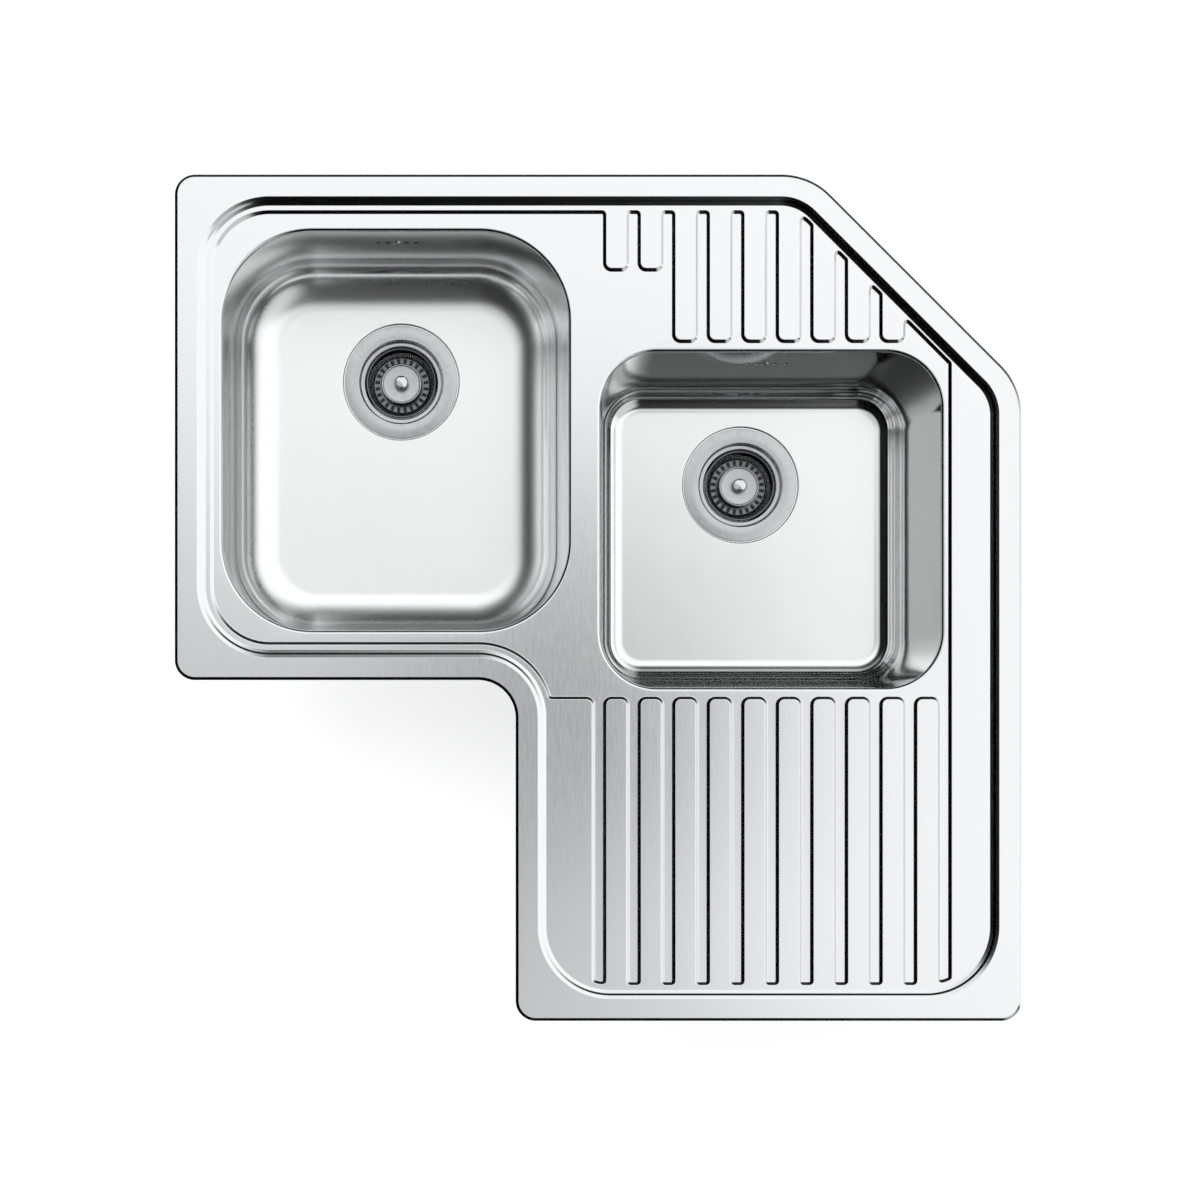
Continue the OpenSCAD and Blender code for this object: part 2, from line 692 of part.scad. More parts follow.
// Hose: an eight-sided tube with ribs, on a curve between the two sockets' tips
hose_sides = 8;
hose_grip = 12;
hose_wall = 1.1;
hose_pull = 70;
hose_bore_r = (spigot_r + fit) / cos(180 / hose_sides);
hose_root_r = hose_bore_r + hose_wall;
hose_crest_r = hose_root_r + hose_rib_h;
bore_rings = 16;
function overflow_point(x, y_back, draft, out, down) =
  let (a = lean(draft))
  [x, y_back - tan(a) * (overflow_depth + weld_z) + sheet_t / cos(draft) + out * cos(a) - down * sin(a),
    -overflow_depth - out * sin(a) - down * cos(a)];
function along(p, q, r, s, t) =
  p * pow(1 - t, 3) + 3 * q * t * pow(1 - t, 2) + 3 * r * t * t * (1 - t) + s * pow(t, 3);
function hose_ring(centre, heading, r) =
  let (n = unit(cross(heading, [1, 0, 0])), m = cross(n, heading))
  [for (j = [0 : hose_sides - 1]) let (a = 360 * (j + 0.5) / hose_sides)
    centre + r * (cos(a) * m + sin(a) * n)];
module hose(start, start_way, stop, stop_way) {
  q = start + hose_pull * start_way;
  w = stop - hose_pull * stop_way;
  n = hose_sides;
  steps = 2 * hose_ribs;
  outer = concat(
    [hose_ring(start - hose_grip * start_way, start_way, hose_root_r)],
    [for (i = [0 : steps]) let (t = i / steps, ahead = min(1, t + 0.5 / steps),
        back = max(0, t - 0.5 / steps))
      hose_ring(along(start, q, w, stop, t),
        unit(along(start, q, w, stop, ahead) - along(start, q, w, stop, back)),
        i % 2 == 0 ? hose_root_r : hose_crest_r)],
    [hose_ring(stop + hose_grip * stop_way, stop_way, hose_root_r)]);
  inner = concat(
    [hose_ring(start - hose_grip * start_way, start_way, hose_bore_r)],
    [for (i = [0 : bore_rings]) let (t = i / bore_rings, ahead = min(1, t + 0.5 / steps),
        back = max(0, t - 0.5 / steps))
      hose_ring(along(start, q, w, stop, t),
        unit(along(start, q, w, stop, ahead) - along(start, q, w, stop, back)), hose_bore_r)],
    [hose_ring(stop + hose_grip * stop_way, stop_way, hose_bore_r)]);
  from = len(outer) * n;
  last_out = (len(outer) - 1) * n;
  last_in = from + (len(inner) - 1) * n;
  color("lightgray") polyhedron(concat([for (g = outer) each g], [for (g = inner) each g]),
    concat(
      [for (i = [0 : len(outer) - 2]) each band(i * n, (i + 1) * n, n)],
      flipped([for (i = [0 : len(inner) - 2]) each band(from + i * n, from + (i + 1) * n, n)]),
      flipped(band(0, from, n)),
      band(last_out, last_in, n)));
}
socket_reach = body_r + body_wall + stub_l;
function stub_turn(drain, x, y) = -atan2(x - drain.x, y - drain.y);
function stub_way(turn) = [-sin(turn), cos(turn), 0];
main_spigot = overflow_point(main_drain.x, main_y + main_l / 2, main_draft, spigot_out,
  overflow_h / 2 + spigot_l);
second_spigot = overflow_point(second_x, second_back, second_draft, spigot_out,
  overflow_h / 2 + spigot_l);
main_turn = stub_turn(main_drain, main_spigot.x, main_spigot.y);
second_turn = stub_turn(second_drain, second_spigot.x, second_spigot.y);
function spigot_way(draft) = [0, -sin(lean(draft)), -cos(lean(draft))];
module bowl_hose(spigot, spigot_heading, drain, turn) {
  way = stub_way(turn);
  hose(spigot, spigot_heading, drain + [0, 0, socket_z] + socket_reach * way, -way);
}

// Hose clamps: a band round the hose with its screw housing
clamp_w = 9;
clamp_t = 1;
clamp_box = 6;
module hose_clamp(centre, way) {
  turn = [0, acos(-way.z), atan2(-way.y, -way.x)];
  translate(centre) rotate(turn) {
    ring(hose_root_r + fit, hose_root_r + fit + clamp_t, (hose_grip - clamp_w) / 2,
      (hose_grip + clamp_w) / 2);
    translate([hose_root_r + clamp_t, -clamp_box, (hose_grip - clamp_w) / 2])
      cube([clamp_box, 2 * clamp_box, clamp_w]);
  }
}
module hose_clamps() {
  color("darkgray") {
    hose_clamp(main_spigot, spigot_way(main_draft));
    hose_clamp(second_spigot, spigot_way(second_draft));
    hose_clamp(main_drain + [0, 0, socket_z] + socket_reach * stub_way(main_turn),
      stub_way(main_turn));
    hose_clamp(second_drain + [0, 0, socket_z] + socket_reach * stub_way(second_turn),
      stub_way(second_turn));
  }
}

deck();
main_bowl();
second_bowl();
rim_gasket();
sound_pads();
clip_brackets();
for (k = [1 : len(clip_places)]) {
  clip_screw(k);
  clip_claw(k);
}
translate(main_drain) strainer_cup();  // main_strainer_cup
translate(main_drain) strainer_gasket();  // main_strainer_gasket
translate(main_drain) waste_gasket();  // main_waste_gasket
translate(main_drain) waste_body(main_turn);  // main_waste_body
translate(main_drain) waste_screw();  // main_waste_screw
translate(main_drain) basket_sieve();  // main_basket_sieve
translate(main_drain) basket_cap();  // main_basket_cap
translate(main_drain) basket_knob();  // main_basket_knob
translate(main_drain) basket_stem();  // main_basket_stem
translate(main_drain) basket_seal();  // main_basket_seal
at_main_overflow() overflow_gasket();  // main_overflow_gasket
at_main_overflow() overflow_collector();  // main_overflow_collector
at_main_overflow() overflow_screw();  // main_overflow_screw
bowl_hose(main_spigot, spigot_way(main_draft), main_drain, main_turn);  // main_overflow_hose
translate(second_drain) strainer_cup();  // second_strainer_cup
translate(second_drain) strainer_gasket();  // second_strainer_gasket
translate(second_drain) waste_gasket();  // second_waste_gasket
translate(second_drain) waste_body(second_turn);  // second_waste_body
translate(second_drain) waste_screw();  // second_waste_screw
translate(second_drain) basket_sieve();  // second_basket_sieve
translate(second_drain) basket_cap();  // second_basket_cap
translate(second_drain) basket_knob();  // second_basket_knob
translate(second_drain) basket_stem();  // second_basket_stem
translate(second_drain) basket_seal();  // second_basket_seal
at_second_overflow() overflow_gasket();  // second_overflow_gasket
at_second_overflow() overflow_collector();  // second_overflow_collector
at_second_overflow() overflow_screw();  // second_overflow_screw
bowl_hose(second_spigot, spigot_way(second_draft), second_drain, second_turn);  // second_overflow_hose
hose_clamps();
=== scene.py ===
"""Dresses the corner kitchen sink: an L-shaped pressed deck with two bowls, strainers and fittings below.

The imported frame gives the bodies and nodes. Each class below models one sub-assembly in millimetres with
Blender's modelling tools, gives it a procedural finish and puts it on the body that it moves with.
"""

import logging
import math
from dataclasses import dataclass
from enum import Enum
from typing import Callable, Iterable, NamedTuple, Sequence

import bmesh
import bpy
from bpy.types import Node, NodeSocket, NodeTree
from mathutils import Matrix, Vector


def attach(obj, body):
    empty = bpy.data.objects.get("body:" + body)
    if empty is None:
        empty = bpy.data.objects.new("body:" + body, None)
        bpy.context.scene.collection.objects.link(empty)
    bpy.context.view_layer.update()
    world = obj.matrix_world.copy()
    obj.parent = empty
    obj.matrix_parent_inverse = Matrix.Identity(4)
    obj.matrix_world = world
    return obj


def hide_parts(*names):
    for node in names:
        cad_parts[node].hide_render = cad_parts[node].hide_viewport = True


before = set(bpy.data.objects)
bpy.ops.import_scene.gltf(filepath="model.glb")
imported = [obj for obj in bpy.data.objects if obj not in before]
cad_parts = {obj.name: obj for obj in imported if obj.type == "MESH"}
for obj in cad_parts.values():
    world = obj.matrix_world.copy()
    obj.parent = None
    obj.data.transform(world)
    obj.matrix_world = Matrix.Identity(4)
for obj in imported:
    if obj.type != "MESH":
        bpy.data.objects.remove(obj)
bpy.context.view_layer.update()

LOG = logging.getLogger("sink")
# One millimetre in Blender's metres
MM = 0.001
# Two places closer than this, in millimetres, are taken as the same
SAME = 0.02


# Sizes of the sheet that several sub-assemblies share, in millimetres


SHEET_T = 0.8
HALF = 415.0
RIM_TOP = 5.0
PLATEAU_Z = 0.5
BASIN_Z = -2.0
WELD_Z = BASIN_Z - SHEET_T
FLOOR_Z = -160.0
FLOOR_SHIFT = 4.5
ARM = HALF - 496.0
# Height of the overflow holes, and the tip of the overflow's hose spigot seen from their middle
OVERFLOW_Z = -45.0
SPIGOT_TIP = (0.0, 14.0, -31.0)
# Height of the hose socket below a bowl's floor, and its tip's distance from the drain's axis
SOCKET_Z = -26.0
SOCKET_REACH = 68.0


class Side(Enum):
    """The two bowls, by the name that their nodes start with."""

    MAIN = "main"
    SECOND = "second"


class Grain(Enum):
    """Which way the brushing of a steel surface runs."""

    ALONG_Y = (1.0, 0.06, 1.0)
    NONE = (1.0, 1.0, 1.0)


class Corner(NamedTuple):
    """A corner of a flat outline: its place and the radius that rounds it."""

    x: float
    y: float
    radius: float


Step = tuple[float, float]
Point = tuple[float, float]
Way = tuple[float, float, float]
# The level direction away from the L's open corner
AWAY: Way = (math.sqrt(0.5), math.sqrt(0.5), 0.0)


# Modelling with Blender's own tools


def release_all() -> None:
    """Leaves edit mode and deselects every object."""
    if bpy.context.mode != "OBJECT":
        bpy.ops.object.mode_set(mode="OBJECT")
    bpy.ops.object.select_all(action="DESELECT")


def select_all() -> None:
    """Selects everything in the mesh that is open in edit mode."""
    bpy.ops.mesh.select_all(action="SELECT")


def bend(radius: float, slope_from: float, slope_to: float, steps: int, rise: float = -1.0) -> list[Step]:
    """Splits an arc of a pressed profile into short steps.

    Args:
        radius: Radius of the arc.
        slope_from: Slope of the sheet where the arc starts, in degrees from level.
        slope_to: Slope of the sheet where it ends.
        steps: Number of steps.
        rise: -1 where the sheet goes down as it goes inward, 1 where it goes up.

    Returns:
        One (inward, up) pair for each step.
    """
    angles = [math.radians(slope_from + (slope_to - slope_from) * k / steps) for k in range(steps + 1)]
    return [(radius * abs(math.sin(b) - math.sin(a)), rise * radius * abs(math.cos(b) - math.cos(a)))
            for a, b in zip(angles, angles[1:])]


def ramp(drop: float, slope: float, radius: float, steps: int) -> list[Step]:
    """A straight flank between two arcs that lead from one level to a lower one.

    Args:
        drop: Height between the two levels.
        slope: Slope of the flank in degrees.
        radius: Radius of both arcs.
        steps: Number of steps in each arc.

    Returns:
        The (inward, up) pairs.
    """
    down = drop - 2 * radius * (1 - math.cos(math.radians(slope)))
    return (bend(radius, 0, slope, steps) + [(down / math.tan(math.radians(slope)), -down)]
            + bend(radius, slope, 0, steps))


def two_slope_wall(drop: float, gentle: Step, steep: float, radius: float, steps: int) -> list[Step]:
    """A wall that is steep in its middle and gentle above and below, with arcs between its slopes.

    Args:
        drop: Height between the two levels.
        gentle: Slope of the gentle flanks in degrees, and the width of each.
        steep: Slope of the middle flank in degrees.
        radius: Radius of the arcs.
        steps: Number of steps in each arc.

    Returns:
        The (inward, up) pairs.
    """
    slope, width = gentle
    side = (width, -width * math.tan(math.radians(slope)))
    arcs = [bend(radius, a, b, steps) for a, b in ((0, slope), (slope, steep), (steep, slope), (slope, 0))]
    down = drop + 2 * side[1] + sum(up for arc in arcs for inward, up in arc)
    middle = (down / math.tan(math.radians(steep)), -down)
    return arcs[0] + [side] + arcs[1] + [middle] + arcs[2] + [side] + arcs[3]


def rippled(steps: Sequence[Step], waves: float, swing: float) -> list[Step]:
    """Tilts the steps of a profile to and fro, as the rings of a deep-drawn wall do. Its ends stay put.

    Args:
        steps: The plain profile.
        waves: Number of rings.
        swing: The largest tilt, in degrees, halfway down.

    Returns:
        The (inward, up) pairs.
    """
    made = []
    for k, (inward, up) in enumerate(steps):
        share = (k + 0.5) / len(steps)
        tilt = math.radians(swing) * math.sin(math.pi * share) * math.sin(2 * math.pi * waves * share)
        across, along = math.cos(tilt), math.sin(tilt)
        made.append((inward * across + up * along, up * across - inward * along))
    wide, deep = (sum(step[i] for step in steps) / sum(step[i] for step in made) for i in (0, 1))
    return [(inward * wide, up * deep) for inward, up in made]


def circle_points(radius: float, centre: Point, start: float, end: float, steps: int) -> list[Point]:
    """Points along an arc, for the profile of a turned piece.

    Args:
        radius: Radius of the arc.
        centre: Its centre, as radius from the axis and height.
        start: Angle of the first point in degrees, from the outward direction.
        end: Angle of the last point.
        steps: Number of steps between them.

    Returns:
        The points from start to end, as (radius from the axis, height).
    """
    angles = [math.radians(start + (end - start) * k / steps) for k in range(steps + 1)]
    return [(centre[0] + radius * math.cos(a), centre[1] + radius * math.sin(a)) for a in angles]


class Workpiece:
    """A mesh that is shaped in edit mode with Blender's modelling tools. All lengths are millimetres."""

    def __init__(self, name: str, start: Sequence[float] = (0.0, 0.0, 0.0)) -> None:
        """Starts the piece as one vertex.

        Args:
            name: Name of the piece.
            start: Place of its first vertex.
        """
        release_all()
        bpy.ops.mesh.primitive_plane_add(size=MM, location=(0, 0, 0), enter_editmode=True)
        bpy.ops.mesh.select_mode(type="VERT")
        select_all()
        bpy.ops.mesh.merge(type="CENTER")
        bpy.ops.transform.translate(value=Vector(start) * MM)
        self.body: bpy.types.Object = bpy.context.object
        self.body.name = name

    @classmethod
    def adopt(cls, name: str) -> "Workpiece":
        """Makes a workpiece of Blender's active object and names it."""
        piece = cls.__new__(cls)
        piece.body = bpy.context.object
        piece.body.name = name
        return piece

    @classmethod
    def plate(cls, name: str, corners: Sequence[Corner], z: float, segments: int) -> "Workpiece":
        """Draws a flat face with rounded corners and leaves it selected, facing up.

        Args:
            name: Name of the piece.
            corners: The corners in order.
            z: Height of the face.
            segments: Number of edges in each rounded corner.

        Returns:
            The workpiece in edit mode.
        """
        piece = cls(name, (corners[0].x, corners[0].y, z))
        piece.draw([(c.x, c.y, z) for c in corners], closed=True)
        select_all()
        bpy.ops.mesh.edge_face_add()
        for corner in corners:
            if corner.radius > 0:
                piece.round_corner(corner.x, corner.y, corner.radius, segments)
        piece.face_up()
        return piece

    @property
    def mesh(self) -> bmesh.types.BMesh:
        """The mesh that is open in edit mode."""
        return bmesh.from_edit_mesh(self.body.data)

    def pick(self) -> None:
        """Makes this piece the active one and the only one selected, in object mode."""
        release_all()
        self.body.select_set(True)
        bpy.context.view_layer.objects.active = self.body

    def drop(self) -> None:
        """Deletes the piece."""
        release_all()
        self.body.select_set(True)
        bpy.ops.object.delete()

    def edit(self) -> None:
        """Opens this piece alone in edit mode."""
        self.pick()
        bpy.ops.object.mode_set(mode="EDIT")

    def select(self, kind: str, test: Callable[..., bool]) -> None:
        """Selects the vertices, edges or faces that pass a test, and nothing else.

        Args:
            kind: VERT, EDGE or FACE.
            test: Takes a vertex, edge or face.
        """
        bpy.ops.mesh.select_mode(type=kind)
        bpy.ops.mesh.select_all(action="DESELECT")
        mesh = self.mesh
        for part in {"VERT": mesh.verts, "EDGE": mesh.edges, "FACE": mesh.faces}[kind]:
            if test(part):
                part.select = True
        mesh.select_flush_mode()
        bmesh.update_edit_mesh(self.body.data)

    def select_vertices(self, test: Callable[[Vector], bool]) -> None:
        """Selects the vertices whose place in millimetres passes a test."""
        self.select("VERT", lambda vertex: test(vertex.co / MM))

    def select_faces(self, test: Callable[[Vector], bool]) -> None:
        """Selects the faces whose centre in millimetres passes a test."""
        self.select("FACE", lambda face: test(face.calc_center_median() / MM))

    def draw(self, points: Sequence[Sequence[float]], closed: bool = False) -> None:
        """Extrudes an edge from each point to the next, from the piece's first vertex.

        Args:
            points: Places of the vertices. The first one is there already.
            closed: Whether an edge joins the last point to the first.
        """
        for here, there in zip(points, points[1:]):
            bpy.ops.mesh.extrude_region_move(
                TRANSFORM_OT_translate={"value": (Vector(there) - Vector(here)) * MM})
        if closed:
            mesh = self.mesh
            mesh.verts.ensure_lookup_table()
            ends = (mesh.verts[0], mesh.verts[-1])
            bpy.ops.mesh.select_all(action="DESELECT")
            for vertex in ends:
                vertex.select = True
            bmesh.update_edit_mesh(self.body.data)
            bpy.ops.mesh.edge_face_add()

    def round_corner(self, x: float, y: float, radius: float, segments: int) -> None:
        """Rounds the outline's corner nearest to a place, after clearing small edges from its arms.

        Args:
            x: Place of the corner along X.
            y: Place of the corner along Y.
            radius: Radius of the arc.
            segments: Number of edges in the arc.
        """
        bpy.ops.mesh.select_mode(type="VERT")
        corner = min(self.mesh.verts, key=lambda v: (v.co.x - x * MM) ** 2 + (v.co.y - y * MM) ** 2)
        arms = [edge.other_vert(corner).co - corner.co for edge in corner.link_edges]
        half = arms[0].angle(arms[1]) / 2
        reach = radius * MM / math.tan(half)
        middle = (arms[0].normalized() + arms[1].normalized()).normalized()
        centre = corner.co + middle * (radius * MM / math.sin(half))
        near = []
        for edge in corner.link_edges:
            here, along = edge.other_vert(corner), edge
            while (here.co - corner.co).length < reach:
                near.append(here)
                along = next(e for e in here.link_edges if e is not along)
                here = along.other_vert(here)
        bpy.ops.mesh.select_all(action="DESELECT")
        for vertex in near or [corner]:
            vertex.select = True
        bmesh.update_edit_mesh(self.body.data)
        if near:
            bpy.ops.mesh.dissolve_verts()
            self.round_corner(x, y, radius, segments)
            return
        bpy.ops.mesh.bevel(offset=reach, offset_type="OFFSET", segments=segments, affect="VERTICES",
                           clamp_overlap=False)
        # The bevel leaves an oval in a corner that isn't square, so its vertices go onto the true arc
        for vertex in self.mesh.verts:
            if vertex.select:
                vertex.co = centre + (vertex.co - centre).normalized() * radius * MM
        bmesh.update_edit_mesh(self.body.data)

    def face_up(self) -> None:
        """Selects everything in a flat piece and turns it to face up."""
        bpy.ops.mesh.select_mode(type="FACE")
        select_all()
        mesh = self.mesh
        mesh.faces.ensure_lookup_table()
        mesh.normal_update()
        if mesh.faces[0].normal.z < 0:
            bpy.ops.mesh.flip_normals()

    def press(self, steps: Iterable[Step], slide: Point = (0.0, 0.0)) -> None:
        """Insets the selected face again and again, so that the sheet follows a profile.

        Args:
            steps: How far each ring goes inward and up.
            slide: How far the rings slide along X and Y for each millimetre that they go down.
        """
        for inward, up in steps:
            bpy.ops.mesh.inset(thickness=inward * MM, depth=up * MM, use_even_offset=True)
            if slide != (0.0, 0.0):
                bpy.ops.transform.translate(value=(-up * slide[0] * MM, -up * slide[1] * MM, 0))

    def open_face(self) -> None:
        """Deletes the selected faces and keeps their edges."""
        bpy.ops.mesh.delete(type="ONLY_FACE")

    def cut(self, place: Sequence[float], normal: Sequence[float]) -> None:
        """Cuts every face with a plane.

        Args:
            place: A point of the plane.
            normal: Its normal.
        """
        select_all()
        bpy.ops.mesh.bisect(plane_co=Vector(place) * MM, plane_no=normal)

    def close_level(self, z: float) -> None:
        """Fills the flat land between the open edges at one height.

        Args:
            z: The height.
        """
        self.select("EDGE", lambda edge: len(edge.link_faces) < 2
                    and all(abs(v.co.z / MM - z) < SAME for v in edge.verts))
        bpy.ops.mesh.fill(use_beauty=True)

    def spin(self, centre: Sequence[float], steps: int, angle: float = 360.0) -> None:
        """Turns the drawn profile about an upright axis.

        Args:
            centre: A point of the axis.
            steps: Number of steps round the axis.
            angle: How far it turns, in degrees.
        """
        select_all()
        bpy.ops.mesh.spin(steps=steps, angle=math.radians(angle), center=Vector(centre) * MM,
                          axis=(0, 0, 1))
        self.merge()

    def merge(self) -> None:
        """Joins vertices that lie on each other and turns all faces to one side."""
        select_all()
        bpy.ops.mesh.remove_doubles(threshold=SAME * MM / 2)
        bpy.ops.mesh.normals_make_consistent(inside=False)

    def face_out_at(self, test: Callable[[Vector], bool], way: Vector) -> None:
        """Turns the whole surface over if one of its faces looks the wrong way.

        Args:
            test: Picks the face by its centre in millimetres.
            way: The way that this face has to look.
        """
        mesh = self.mesh
        mesh.normal_update()
        face = next(f for f in mesh.faces if test(f.calc_center_median() / MM))
        if face.normal.dot(way) < 0:
            select_all()
            bpy.ops.mesh.flip_normals()

    def join(self, *others: "Workpiece") -> None:
        """Takes other workpieces into this one and opens it in edit mode.

        Args:
            others: The workpieces, which end there.
        """
        self.pick()
        for other in others:
            other.body.select_set(True)
        bpy.ops.object.join()
        bpy.ops.object.mode_set(mode="EDIT")

    def modify(self, kind: str, **settings: object) -> None:
        """Adds a modifier and applies it.

        Args:
            kind: Blender's name for the modifier.
            settings: Its settings.
        """
        self.pick()
        modifier = self.body.modifiers.new(kind.lower(), kind)
        for name, value in settings.items():
            setattr(modifier, name, value)
        bpy.ops.object.modifier_apply(modifier=modifier.name)

    def cut_away(self, tool: "Workpiece") -> None:
        """Cuts another closed workpiece out of this one.

        Args:
            tool: The workpiece that is cut out and then deleted.
        """
        self.modify("BOOLEAN", operation="DIFFERENCE", solver="EXACT", object=tool.body)
        tool.drop()

    def hollow(self, radius: float) -> None:
        """Deletes the vertices that lie nearer to the Z axis than a radius."""
        self.edit()
        self.select_vertices(lambda p: math.hypot(p.x, p.y) < radius)
        bpy.ops.mesh.delete(type="VERT")
        release_all()

    def twin(self, name: str) -> "Workpiece":
        """Copies the piece with a mesh of its own.

        Args:
            name: Name of the copy.

        Returns:
            The copy, in object mode.
        """
        self.pick()
        bpy.ops.object.duplicate()
        return Workpiece.adopt(name)

    def put(self, place: Matrix) -> None:
        """Moves the finished mesh from the origin to its place.

        Args:
            place: The place, as place_at gives it.
        """
        self.pick()
        self.body.matrix_world = place
        bpy.ops.object.transform_apply(location=True, rotation=True, scale=True)

    def repeat(self, places: Sequence[Matrix]) -> None:
        """Copies the piece to several places and keeps all of them as one piece.

        Args:
            places: The places.
        """
        copies = [self.twin("copy") for place in places[1:]]
        for copy, place in zip(copies, places[1:]):
            copy.put(place)
        self.put(places[0])
        self.join(*copies)
        release_all()

    def soften(self, width: float, segments: int = 2) -> None:
        """Rounds every edge that is sharper than 35 degrees.

        Args:
            width: Width of the rounding.
            segments: Number of edges across it.
        """
        self.modify("BEVEL", width=width * MM, segments=segments, limit_method="ANGLE",
                    angle_limit=math.radians(35))

    def smooth(self, angle: float) -> None:
        """Shades the piece smooth, with creases sharper than an angle kept and flats kept flat.

        Args:
            angle: The angle in degrees.
        """
        self.pick()
        bpy.ops.object.shade_smooth_by_angle(angle=math.radians(angle))
        self.modify("WEIGHTED_NORMAL", keep_sharp=True, weight=80)

    def thicken(self, thickness: float, face: "Finish", back: "Finish") -> None:
        """Makes a sheet of the surface, towards its back, with a finish for each side.

        Args:
            thickness: Thickness of the sheet.
            face: Finish of the surface itself.
            back: Finish of the side behind it.
        """
        release_all()
        for finish in (face, back):
            self.body.data.materials.append(finish.material())
        self.modify("SOLIDIFY", thickness=thickness * MM, offset=-1.0, material_offset=1)

    def dress(self, finish: "Finish", slot: str, node: str, body: str = "root", crease: float = 40.0
              ) -> None:
        """Smooths the finished piece, gives it its material and body, and hides the node that it stands for.

        Args:
            finish: The finish, unless its sides have theirs already.
            slot: Name of the material slot; not used.
            node: The node that it stands for.
            body: The body that the piece moves with.
            crease: Angle in degrees above which an edge stays sharp.
        """
        self.smooth(crease)
        if not self.body.data.materials:
            self.body.data.materials.append(finish.material())
        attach(self.body, body)
        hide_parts(node)
        LOG.info("%s: %d faces on %s", self.body.name, len(self.body.data.polygons), body)


def turned(name: str, profile: Sequence[Point], steps: int = 96, centre: Sequence[float] = (0, 0, 0)
           ) -> Workpiece:
    """Spins a profile into a round piece.

    Args:
        name: Name of the piece.
        profile: Points of the profile, as radius from the axis and height above the centre.
        steps: Number of steps round the axis.
        centre: A point of the upright axis, from which the heights count.

    Returns:
        The workpiece in edit mode.
    """
    x, y, z = centre
    places = [(x + radius, y, z + height) for radius, height in profile]
    piece = Workpiece(name, places[0])
    piece.draw(places)
    piece.spin(centre, steps)
    return piece


def pin(name: str, place: Sequence[float], way: Sequence[float], radius: float, length: float,
        sides: int = 32) -> Workpiece:
    """A round tool or pin, centred on a place.

    Args:
        name: Name of the piece.
        place: Its middle.
        way: The direction of its axis.
        radius: Its radius.
        length: Its length.
        sides: Number of sides.

    Returns:
        The workpiece in object mode.
    """
    release_all()
    turn = Vector((0, 0, 1)).rotation_difference(Vector(way)).to_euler()
    bpy.ops.mesh.primitive_cylinder_add(vertices=sides, radius=radius * MM, depth=length * MM,
                                        location=Vector(place) * MM, rotation=turn)
    bpy.ops.object.transform_apply(location=True, rotation=True, scale=True)
    return Workpiece.adopt(name)


def block(name: str, low: Sequence[float], high: Sequence[float]) -> Workpiece:
    """A square tool, web or rib between two corners.

    Args:
        name: Name of the piece.
        low: Its lowest corner.
        high: Its highest corner.

    Returns:
        The workpiece in object mode.
    """
    release_all()
    size = Vector(high) - Vector(low)
    bpy.ops.mesh.primitive_cube_add(size=1.0, location=(Vector(low) + size / 2) * MM, scale=size * MM)
    bpy.ops.object.transform_apply(location=True, rotation=True, scale=True)
    return Workpiece.adopt(name)


def bent_strip(name: str, points: Sequence[Point], fold_r: float, width: float, thickness: float
               ) -> Workpiece:
    """A strip that is folded along a path in the XZ plane.

    Args:
        name: Name of the piece.
        points: The path through the middle of the strip, as (x, z).
        fold_r: Radius of its folds.
        width: Width of the strip, along Y.
        thickness: Its thickness.

    Returns:
        The workpiece in object mode.
    """
    piece = Workpiece(name, (*points[0], -width / 2))
    piece.draw([(x, z, -width / 2) for x, z in points])
    for x, z in points[1:-1]:
        piece.round_corner(x, z, fold_r, 5)
    select_all()
    bpy.ops.mesh.extrude_region_move(TRANSFORM_OT_translate={"value": (0, 0, width * MM)})
    select_all()
    bpy.ops.mesh.normals_make_consistent(inside=False)
    piece.modify("SOLIDIFY", thickness=thickness * MM, offset=0.0, use_even_offset=True)
    piece.put(ON_EDGE)
    return piece


def thread(name: str, crest_r: float, depth: float, pitch: float, length: float, steps: int = 24
           ) -> Workpiece:
    """A screw thread that winds up the Z axis from the origin, round a plain core.

    Args:
        name: Name of the piece.
        crest_r: Radius of its crests.
        depth: Depth of the thread.
        pitch: Rise of one turn.
        length: Length of the thread.
        steps: Number of steps in one turn.

    Returns:
        The workpiece in object mode.
    """
    root = crest_r - depth
    profile = [(root, 0.0), (crest_r, pitch * 0.38), (crest_r, pitch * 0.56), (root, pitch * 0.94)]
    piece = Workpiece(name, (root, 0, 0))
    piece.draw([(x, 0, z) for x, z in profile])
    piece.modify("SCREW", axis="Z", steps=steps, render_steps=steps, screw_offset=pitch * MM,
                 iterations=max(1, int(length / pitch) - 1), use_normal_calculate=True)
    core_r = root + depth * 0.1
    core = turned("core", [(0.0, 0.0), (root, 0.0), (core_r, depth), (core_r, length - depth),
                           (root - depth, length), (0.0, length)], steps)
    piece.join(core)
    piece.merge()
    release_all()
    return piece


def place_at(spot: Sequence[float], turn: float = 0.0, tilt: float = 0.0) -> Matrix:
    """A place in the sink.

    Args:
        spot: Where the piece's origin goes, in millimetres.
        turn: Turn about Z in degrees.
        tilt: Turn about X in degrees, before that.

    Returns:
        The move from the origin to that place.
    """
    return (Matrix.Translation(Vector(spot) * MM) @ Matrix.Rotation(math.radians(turn), 4, "Z")
            @ Matrix.Rotation(math.radians(tilt), 4, "X"))


# Turns a profile drawn in plan on edge, and a piece built upwards to point along Y
ON_EDGE = place_at((0, 0, 0), tilt=90.0)
OUTWARD = place_at((0, 0, 0), tilt=-90.0)


# Finishes


